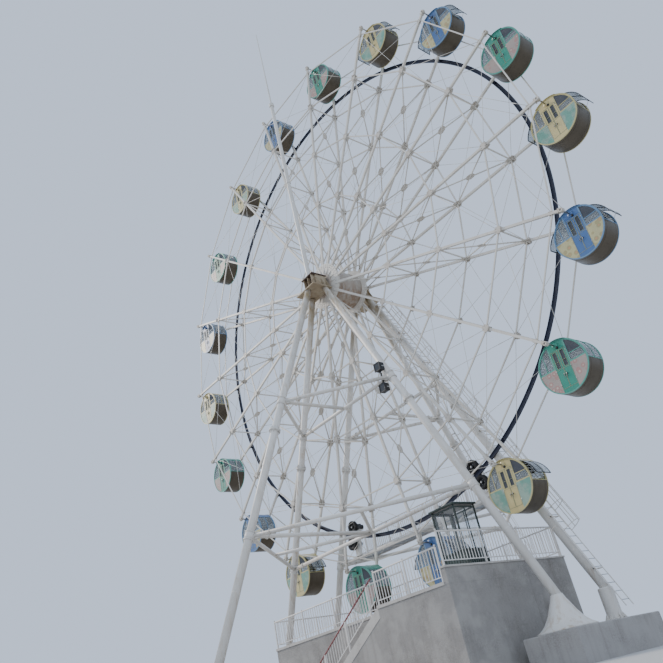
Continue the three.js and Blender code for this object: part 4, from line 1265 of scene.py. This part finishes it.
def floodlights_dressed():
    """Two flood lamps on a post, one above the upper tie and one below."""
    shape = Shape()
    x, y = 3.08, -HEAD_Y
    shape.add(blocks((x - 0.175, y - 0.2, UPPER - 0.33), (x - 0.115, y - 0.13, UPPER + 0.33)), 0)
    shape.add(blocks((x - 0.17, y - 0.14, UPPER - 0.06), (x - 0.12, y - TIE_R - GAP, UPPER + 0.06)), 0)
    for z0, z1 in ((UPPER + 0.30, UPPER + 0.68), (UPPER - 0.68, UPPER - 0.30)):
        flood_lamp(shape, x, y, z0, z1)
    shape.made("floodlights_dressed", ["black", "lamp_face", "galvanised"], "base", ("floodlights",),
               "lamp_black", bevel=0.004)


def pickets(shape, a, b, low, high, pitch, size=0.009):
    """Square upright bars between two heights, evenly along the line from a to b, about pitch apart."""
    a, b = np.array([*a, 0.0]), np.array([*b, 0.0])
    count = max(2, int(round(np.linalg.norm(b - a) / pitch)))
    at = a + (b - a) * (np.arange(1, count) / count)[:, None]
    shape.add(blocks(at + (-size, -size, low), at + (size, size, high)), 0)


def service_walk_dressed():
    """Walk behind the drives: grating on edge channels and beams, posts, rails and pickets."""
    shape = Shape()
    z, half, seat = LOWER + 0.0966, 5.2, TIE_TOP
    front, back = 2.012, 2.788
    for y0, y1 in ((2.0, front), (back, 2.8)):
        shape.add(blocks((-half, y0, z - 0.03), (half, y1, z + 0.07)), 0)
    for x in np.arange(-half + 0.02, half, 0.045):
        shape.add(blocks((x - 0.0025, front, z + 0.02), (x + 0.0025, back, z + 0.05)), 1)
    for y in np.arange(2.06, 2.78, 0.1):
        shape.add(blocks((-half, y - 0.004, z + 0.038), (half, y + 0.004, z + 0.048)), 1)
    for x in (-5.0, -2.6, 0.0, 2.6, 5.0):
        shape.add(blocks((x - 0.04, HEAD_Y - 0.06, seat), (x + 0.04, 2.79, seat + 0.008)), 0)
        shape.add(blocks((x - 0.006, HEAD_Y - 0.06, seat + 0.007), (x + 0.006, back, z + 0.02)), 0)
        shape.add(bars((x, HEAD_Y + 0.05, seat - 0.05), (x, 2.3, seat), 0.012, 0.05), 0)
    for y in (2.02, 2.78):
        for x in np.linspace(0.04 - half, half - 0.04, 5):
            shape.add(blocks((x - 0.022, y - 0.02, z + 0.02), (x + 0.022, y + 0.02, z + 1.12)), 0)
        shape.add(tubes((-half + 0.01, y, z + 1.125), (half - 0.01, y, z + 1.125), 0.024, 12), 0, True)
        for thick, low, top in ((0.014, 0.17, 0.2), (0.006, 0.05, 0.13)):
            shape.add(blocks((-half + 0.012, y - thick, z + low), (half - 0.012, y + thick, z + top)), 0)
        pickets(shape, (-half + 0.04, y), (half - 0.04, y), z + 0.19, z + 1.11, 0.13, 0.007)
    shape.made("service_walk_dressed", ["rail_white", "galvanised"], "base", ("service_walk",), "leg_paint")


# Drives

TYRES = {"inner": 11.8125, "outer": 12.595}


def drive_point(side, which, y=0.0):
    """The middle of a tyre, 20 degrees to its side of straight down, inside the drive ring or outside it."""
    return on_wheel(TYRES[which], math.radians(-90 + side * 20), y)


def motor(shape, at, y0, y1, radius):
    """A gear motor along y: bolted flange, finned drum, fan cover and a terminal box."""
    x, _, z = at
    long = y1 - y0
    body = [(0, radius * 0.6), (0, radius), (0.025, radius), (0.025, radius * 0.8),
            (long * 0.8, radius * 0.8), (long * 0.8, radius * 0.92), (long * 0.97, radius * 0.92),
            (long, radius * 0.8)]
    shape.add(turned(body, (x, y0, z), AXLE, 24), 1)
    count = 20
    low = round_y((x, y0 + 0.03, z), radius * 0.86, count)
    shape.add(bars(low, low + (0, long * 0.74, 0), radius * 0.18, 0.005, outward(around(count))), 1)
    shape.add(blocks((x - 0.05, y0 + long * 0.3, z + radius * 0.8),
                     (x + 0.05, y0 + long * 0.65, z + radius + 0.03)), 1)
    shape.add(bolts(round_y((x, y0, z), radius * 0.9, 8), (0, -1, 0), 0.009, 0.008), 2)


def drive_column(shape, a, b):
    """A bracket from a up to b: two cheeks, a web between them and three cross plates."""
    way = unit(b - a)
    for s in (-1, 1):
        aside = np.cross(way, AXLE) * s * 0.07
        shape.add(bars(a + aside, b + aside, 0.012, 0.16, AXLE), 0)
    shape.add(bars(a, b, 0.13, 0.012, AXLE), 0)
    for share in (0.25, 0.5, 0.75):
        middle = a + (b - a) * share
        shape.add(bars(middle - way * 0.006, middle + way * 0.006, 0.14, 0.15, AXLE), 0)


def drive_mount_dressed(word, side):
    """Drive unit: ribbed pedestal bolted to the tie tube, two gearboxes with black motors, stub shafts."""
    shape = Shape()
    inner, outer = drive_point(side, "inner"), drive_point(side, "outer")
    x, y, foot = outer[0], HEAD_Y + 0.02, TIE_TOP
    shape.add(blocks((x - 0.3, y - 0.16, foot), (x + 0.3, y + 0.26, foot + 0.025)), 0)
    at = [(x + dx, y + dy, foot + 0.025) for dx in (-0.26, -0.14, 0.14, 0.26) for dy in (-0.13, 0.23)]
    shape.add(bolts(at, UP, 0.016, 0.018), 2)
    for dx in (-0.16, 0.16):
        shape.add(tubes((x + dx, HEAD_Y, foot - 0.12), (x + dx, HEAD_Y, foot - 0.001), 0.012, 6), 2)
    drive_column(shape, np.array([x, y + 0.07, foot + 0.02]), np.array([inner[0], y + 0.07, inner[2] + 0.1]))
    shape.add(blocks((x - 0.12, y - 0.06, foot + 0.02), (x + 0.12, y + 0.06, outer[2] + 0.09)), 0)
    for at, size, reach in ((inner, 0.13, 0.33), (outer, 0.115, 0.29)):
        shape.add(blocks((at[0] - size, y - 0.07, at[2] - size), (at[0] + size, y + 0.06, at[2] + size)), 1)
        cover = [(0, size * 0.9), (0.02, size * 0.9), (0.03, size * 0.6), (0.05, size * 0.55)]
        shape.add(turned(cover, (at[0], y - 0.07, at[2]), (0, -1, 0), 24), 1, True)
        shape.add(tubes((at[0], y, at[2]), (at[0], 1.05, at[2]), 0.0395, 20), 2, True)
        motor(shape, at, y + 0.06, y + reach, size)
    shape.add(blocks((inner[0] - 0.15, y - 0.05, inner[2] - 0.16),
                     (inner[0] + 0.15, y + 0.25, inner[2] - 0.135)), 0)
    name = f"{word}_drive_mount"
    shape.made(f"{name}_dressed", ["leg_white", "black", "steel"], "base", (name,), "leg_paint", bevel=0.003)


def tyre_dressed(word, which, side):
    """Drive tyre: carcass with a lugged tread on a steel wheel with a bolted hub."""
    shape = Shape()
    at = drive_point(side, which, RING_Y)
    wall = [(0.06, 0.17), (0.078, 0.185), (0.084, 0.22), (0.082, 0.26), (0.072, 0.283)]
    carcass = [(-y, r) for y, r in wall] + wall[::-1]
    shape.add(turned(carcass, at, AXLE, 48, True), 0, True)
    for s, turn in ((-1, 0), (1, math.pi / 30)):
        u = around(30, turn)
        out, along = outward(u), crosswise(u)
        near = at + out * 0.288 + (0, s * 0.004, 0) + along * 0.012
        far = at + out * 0.286 + (0, s * 0.076, 0) - along * 0.006
        shape.add(bars(near, far, 0.024, 0.02, out), 0)
    rim = [(-0.065, 0.172), (-0.06, 0.178), (-0.05, 0.165), (0.05, 0.165), (0.06, 0.178), (0.065, 0.172),
           (0.05, 0.15), (0.02, 0.145), (0.015, 0.07), (0.05, 0.065), (0.05, 0.0415), (-0.05, 0.0415),
           (-0.05, 0.065), (0.005, 0.07), (0.01, 0.145), (-0.05, 0.15)]
    shape.add(turned(rim, at, AXLE, 36, True), 1)
    shape.add(bolts(round_y(at + (0, 0.008, 0), 0.105, 6), (0, -1, 0), 0.011, 0.012), 2)
    name = f"{word}_{which}_tyre"
    shape.made(f"{name}_dressed", ["rubber", "black", "steel"], name, (name,), "drive_tyre")


# Boarding works

STEPS = 17
RISE = DECK / (STEPS + 1)
GOING = 0.3
LIP = 0.03  # how far coping stones reach over a wall
KERB = 0.25  # how far they reach onto the deck


def stones(shape, low, high, pitch=1.1):
    """A row of coping stones filling a box, with 4 mm joints along its longer side."""
    low, high = np.array(low, float), np.array(high, float)
    k = 0 if high[0] - low[0] > high[1] - low[1] else 1
    count = round((high[k] - low[k]) / pitch)
    cuts = np.linspace(low[k], high[k], count + 1)
    lows, highs = np.tile(low, (count, 1)), np.tile(high, (count, 1))
    lows[:, k], highs[:, k] = cuts[:-1] + 0.002, cuts[1:] - 0.002
    shape.add(blocks(lows, highs), 1)


def deck_tiles(shape, right, back):
    """Square tiles every 0.5 m with 6 mm joints, from the kerbs up to the parapets."""
    low = np.array([(x, y, DECK - 0.099) for x in np.arange(DECK_LEFT + KERB + 0.004, right, 0.5)
                    for y in np.arange(DECK_FRONT + KERB + 0.004, back, 0.5)
                    if y > STAIR_BACK + KERB or x > STAIR_TOP - 0.02])
    shape.add(blocks(low, np.minimum(low + (0.494, 0.494, 0.095), (right - 0.002, back - 0.002, DECK))), 2)


def platform_dressed():
    """Masonry platform: rendered walls on a plinth, coping along the edges, two parapets, tiles on top."""
    shape = Shape()
    under, top = DECK - 0.1, DECK + PARAPET
    back, right = DECK_BACK - PARAPET_WIDE, DECK_RIGHT - PARAPET_WIDE
    for low, high in (((DECK_LEFT, STAIR_BACK, 0), (STAIR_TOP, DECK_BACK, under)),
                      ((STAIR_TOP - 0.001, DECK_FRONT, 0), (DECK_RIGHT, DECK_BACK, under)),
                      ((DECK_LEFT, back, under), (DECK_RIGHT, DECK_BACK, top - 0.06)),
                      ((right, DECK_FRONT, under), (DECK_RIGHT, back, top - 0.06))):
        shape.add(blocks(low, high), 0)
    left, front, stair, cap = DECK_LEFT - LIP, DECK_FRONT - LIP, STAIR_TOP - LIP, top - 0.06
    for low, high in (((left, back - LIP, cap), (DECK_RIGHT + LIP, DECK_BACK + LIP, top)),
                      ((right - LIP, front, cap), (DECK_RIGHT + LIP, back - LIP - 0.001, top)),
                      ((left, STAIR_BACK - LIP, under), (stair, STAIR_BACK + KERB, DECK)),
                      ((stair, front, under), (right, DECK_FRONT + KERB, DECK)),
                      ((left, STAIR_BACK + KERB, under), (DECK_LEFT + KERB, back, DECK))):
        stones(shape, low, high)
    deck_tiles(shape, right, back)
    left, front = DECK_LEFT - 0.025, DECK_FRONT - 0.025
    for x0, y0, x1, y1 in ((left, STAIR_BACK - 0.025, -2.4, STAIR_BACK),
                           (left, STAIR_BACK, DECK_LEFT, DECK_BACK),
                           (left, DECK_BACK, DECK_RIGHT + 0.025, DECK_BACK + 0.025),
                           (DECK_RIGHT, front, DECK_RIGHT + 0.025, DECK_BACK),
                           (STAIR_TOP + 0.04, front, DECK_RIGHT, DECK_FRONT)):
        shape.add(blocks((x0, y0, 0.001), (x1, y1, 0.3)), 1)
    shape.made("boarding_platform_dressed", ["render", "coping", "tile"], "base", ("boarding_platform",),
               "masonry", bevel=0.006)


def stair_dressed():
    """Stair: rendered core between sloped cheeks, brown risers and light treads with two grip strips each."""
    shape = Shape()
    top, y0, y1 = STAIR_TOP - 0.001, DECK_FRONT, STAIR_BACK - GAP

    def rows(k0, k1, low, high, inset):
        """A box a step, from k0 to k1 goings out from the top of the stair and between two heights."""
        near = np.stack([top - k1 * GOING, np.full(STEPS, y0 + inset), low], 1)
        return blocks(near, np.stack([top - k0 * GOING, np.full(STEPS, y1 - inset), high], 1))

    k = np.arange(STEPS)
    z = DECK - (k + 1) * RISE
    shape.add(rows(k, k + 1, 0 * z, z - 0.035, 0.012), 0)
    shape.add(rows(k, k + 1.06, z - 0.034, z, 0.1), 1)
    for edge in (0.72, 0.86):
        shape.add(rows(k + edge, k + edge + 0.05, z, z + 0.0025, 0.2), 3)
    shape.add(rows(k + 1.0, k + 1.012, z - RISE + 0.002, z - 0.036, 0.1), 2)
    far = top - STEPS * GOING
    cheek = np.array([(top, 0, DECK - 0.03), (far, 0, RISE - 0.03), (far, 0, 0), (far + 0.25, 0, 0),
                      (top, 0, DECK - 2.3 * RISE)])
    for y in (y0, y1 - 0.1):
        shape.add(slabs(cheek + (0, y, 0), (0, 0.1, 0)), 4)
    shape.made("boarding_stair_dressed", ["render", "tread", "riser", "black", "coping"], "base",
               ("boarding_stair",), "masonry")


def rail_post(shape, x, y, z):
    """A square post on a foot plate, with a ball on top."""
    shape.add(post(x, y, 0.025, z, z + 1.07), 0)
    shape.add(post(x, y, 0.048, z, z + 0.01), 0)
    ball = [(0, 0.012), (0.012, 0.026), (0.03, 0.032), (0.048, 0.026), (0.06, 0.004)]
    shape.add(turned(ball, (x, y, z + 1.095), UP, 12), 0, True)


def rail_line(shape, corners, base):
    """A level rail through its corners: posts up to 2.6 m apart, a round top bar, a lower bar, pickets."""
    z = base + GAP
    for i, (a, b) in enumerate(zip(corners, corners[1:])):
        bays = math.ceil(math.dist(a, b) / 2.6)
        stops = np.linspace(a, b, bays + 1)
        for x, y in stops[min(i, 1):]:
            rail_post(shape, x, y, z)
        shape.add(tubes((*a, z + 1.075), (*b, z + 1.075), 0.028, 12), 0, True)
        shape.add(bars((*a, z + 0.15), (*b, z + 0.15), 0.03, 0.03), 0)
        for p, q in zip(stops, stops[1:]):
            pickets(shape, p, q, z + 0.16, z + 1.06, 0.15)


def stair_rail_dressed():
    """Sloping rail: posts on the steps, a red handrail bent down at its foot, a lower bar and pickets."""
    shape = Shape()
    y = DECK_FRONT + 0.05

    def line(k, h):
        """The point k goings out from the top of the stair, h above the line through the steps' edges."""
        return np.array([STAIR_TOP - k * GOING, y, DECK - k * RISE + h])

    for k in (1.5, 6.5, 11.5, 15.5):
        x, _, z = line(k, 0.99)
        tread = DECK - math.ceil(k) * RISE + GAP
        shape.add(post(x, y, 0.025, tread, z), 0)
        shape.add(post(x, y, 0.045, tread, tread + 0.01), 0)
    start, end = 0.4, 16.6
    foot = line(end, 1.0)
    path = [line(start, 1.0), line(8, 1.0), foot, foot + (-0.12, 0, -0.1), foot + (-0.1, 0, -0.22),
            foot + (0, 0, -0.27)]
    shape.add(carried(path, circle(0.028, 10), AXLE), 1, True)
    shape.add(bars(line(start, 0.24), line(end, 0.24), 0.03, 0.03, AXLE), 0)
    low = np.array([line(k, 0.25) for k in np.arange(0.75, end, 0.5)])
    shape.add(blocks(low - (0.009, 0.009, 0), low + (0.009, 0.009, 0.74)), 0)
    shape.made("boarding_stair_rail_dressed", ["rail_white", "handrail_red"], "base",
               ("boarding_stair_rail",), "rail_paint")


def rails_dressed():
    """The four level rails on the platform's edges and parapets, and the stair's."""
    back, right, left = DECK_BACK - 0.05, DECK_RIGHT - 0.05, DECK_LEFT + 0.05
    stair, front = STAIR_BACK + 0.05, DECK_FRONT + 0.05
    wall = DECK + PARAPET
    for name, base, corners in (
            ("platform_left_rail", DECK, [(2.68, stair), (left, stair), (left, 1.76)]),
            ("platform_rear_rail", wall, [(DECK_LEFT + 0.06, back), (DECK_RIGHT - 0.06, back)]),
            ("platform_right_rail", wall, [(right, DECK_BACK - 0.15), (right, DECK_FRONT + 0.06)]),
            ("platform_front_rail", DECK, [(2.80, front), (5.95, front)])):
        shape = Shape()
        rail_line(shape, corners, base)
        shape.made(f"{name}_dressed", ["rail_white"], "base", (name,), "rail_paint")
    stair_rail_dressed()


def glazed_wall(shape, a, b, normal):
    """A wall of the booth from a to b, outside towards normal: level bars, mullion, barred panel, pane."""
    a, b, normal = np.array(a, float), np.array(b, float), np.array(normal, float)
    way, long = unit(b - a), np.linalg.norm(b - a)
    sill, head = 0.97, 2.42

    def bar(u0, u1, z0, z1, deep=0.04, finish=0, back=0.0):
        """A box from u0 to u1 along the wall, deep thick, its face back from the outside."""
        p, q = a + way * u0 - normal * (back + deep), a + way * u1 - normal * back
        shape.add(blocks(np.minimum(p, q) + (0, 0, z0), np.maximum(p, q) + (0, 0, z1)), finish)

    for h in (0.055, sill, head):
        bar(0.05, long - 0.05, h, h + 0.05)
    bar(long / 2 - 0.015, long / 2 + 0.015, sill + 0.05, head, 0.03)
    bar(0.05, long - 0.05, 0.105, sill, 0.006, 1, 0.03)
    count = int(long / 0.11)
    for u in long * np.arange(1, count) / count:
        bar(u - 0.009, u + 0.009, 0.105, sill, 0.014)
    bar(0.05, long - 0.05, sill + 0.05, head, 0.006, 2, 0.014)


def booth_dressed():
    """Operator's booth: dark slim frames, two tall panes a side, barred lower panels, flat roof, desk."""
    shape = Shape()
    (x0, x1), (y0, y1) = BOOTH_X, BOOTH_Y
    z = DECK + GAP
    top = z + BOOTH_HIGH
    under = top - 0.07
    for x in (x0, x1 - 0.05):
        for y in (y0, y1 - 0.05):
            shape.add(blocks((x, y, z), (x + 0.05, y + 0.05, under)), 0)
    for out, low, high, look in ((0.06, under, top - 0.012, 0), (0.03, top - 0.012, top, 3),
                                 (0, z, z + 0.055, 1), (-0.05, top - 0.085, under, 5)):
        shape.add(blocks((x0 - out, y0 - out, low), (x1 + out, y1 + out, high)), look)
    for a, b, normal in (((x0, y0, z), (x1, y0, z), (0, -1, 0)), ((x0, y1, z), (x1, y1, z), (0, 1, 0)),
                         ((x1, y0, z), (x1, y1, z), (1, 0, 0))):
        glazed_wall(shape, a, b, normal)
    for y in (y0 + 0.05, y1 - 0.20):
        shape.add(blocks((x0, y, z + 0.055), (x0 + 0.04, y + 0.15, under)), 1)
    shape.add(blocks((x0, y0 + 0.05, top - 0.18), (x0 + 0.04, y1 - 0.05, under)), 0)
    desk, panel = z + 0.90, z + 0.96
    shape.add(blocks((x1 - 0.48, y0 + 0.06, z + 0.86), (x1 - 0.06, y1 - 0.06, desk)), 3)
    shape.add(blocks((x1 - 0.35, y0 + 0.3, desk), (x1 - 0.15, y1 - 0.35, panel)), 4)
    knobs = [(x1 - 0.25, y0 + 0.38 + 0.08 * k, panel) for k in range(5)]
    shape.add(bolts(knobs, UP, 0.014), 6)
    looks = ["booth_frame", "booth_panel", "clear_pane", "galvanised", "black", "lining", "handrail_red"]
    shape.made("operator_booth_dressed", looks, "base", ("operator_booth",), "booth_dark")


# Kept solids, light and floor

def dress(node, finish_name):
    """Puts one finish on every slot of a solid that stays as it is."""
    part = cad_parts[node]
    for slot in part.material_slots:
        slot.material = MATERIALS[finish_name]


def sun(name, energy, tilt, heading, width, colour):
    """A sun lamp tilted from straight down, then turned round z; width is how wide it looks. In degrees."""
    data = bpy.data.lights.new(name, "SUN")
    data.energy = energy
    data.color = colour
    data.angle = math.radians(width)
    lamp = bpy.data.objects.new(name, data)
    lamp.location = (0, 0, 60)
    lamp.rotation_euler = (math.radians(tilt), 0, math.radians(heading))
    link(lamp)


def studio():
    """A pale floor, an even pale surround, a warm key sun from the left, a faint cool one from the right."""
    mesh = bpy.data.meshes.new("floor")
    far = 400
    mesh.from_pydata([(-far, -far, 0), (far, -far, 0), (far, far, 0), (-far, far, 0)], [], [(0, 1, 2, 3)])
    floor = bpy.data.objects.new("floor", mesh)
    _, shader = new_material("floor")
    shader.inputs["Base Color"].default_value = (0.5, 0.49, 0.47, 1)
    shader.inputs["Roughness"].default_value = 0.85
    mesh.materials.append(MATERIALS["floor"])
    link(floor)
    world = bpy.data.worlds.new("surround")
    world.use_nodes = True
    back = world.node_tree.nodes["Background"]
    back.inputs["Color"].default_value = (0.60, 0.71, 0.90, 1)
    back.inputs["Strength"].default_value = 1.15
    bpy.context.scene.world = world
    sun("key", 2.6, 58, -72, 14, (1, 0.93, 0.84))
    sun("fill", 0.35, 60, 40, 40, (0.9, 0.95, 1))


def wheel():
    """All that turns with the wheel."""
    for node in ("front_inner_frame", "rear_inner_frame", "front_outer_rim", "rear_outer_rim"):
        dress(node, "wheel_white")
    truss_braces()
    node_plates()
    stays()
    tip_bearings()
    hub_dressed()
    drive_ring_dressed()


def tripods():
    """Both tripods with the axle, and what is fitted to them."""
    for sy, word in ((-1, "front"), (1, "rear")):
        leg_dressed(f"{word}_outrigger_leg", 0, sy)
        leg_dressed(f"{word}_left_leg", -1, sy)
        leg_dressed(f"{word}_right_leg", 1, sy)
        ties_dressed(f"{word}_upper_ties", sy, UPPER, False)
        ties_dressed(f"{word}_lower_ties", sy, LOWER, True)
        head_dressed(f"{word}_bearing_head", sy)
    dress("axle", "steel")
    mast_dressed()
    ladder_dressed("leg_ladder", 1)
    ladder_dressed("outrigger_ladder", 0)
    floodlights_dressed()
    service_walk_dressed()


def drives():
    """The two drive mounts and their four tyres."""
    for side, word in ((-1, "left"), (1, "right")):
        drive_mount_dressed(word, side)
        for which in TYRES:
            tyre_dressed(word, which, side)


def boarding():
    """The platform with its stair, rails and booth."""
    platform_dressed()
    stair_dressed()
    rails_dressed()
    booth_dressed()


camera()
cabins()
wheel()
tripods()
drives()
boarding()
studio()
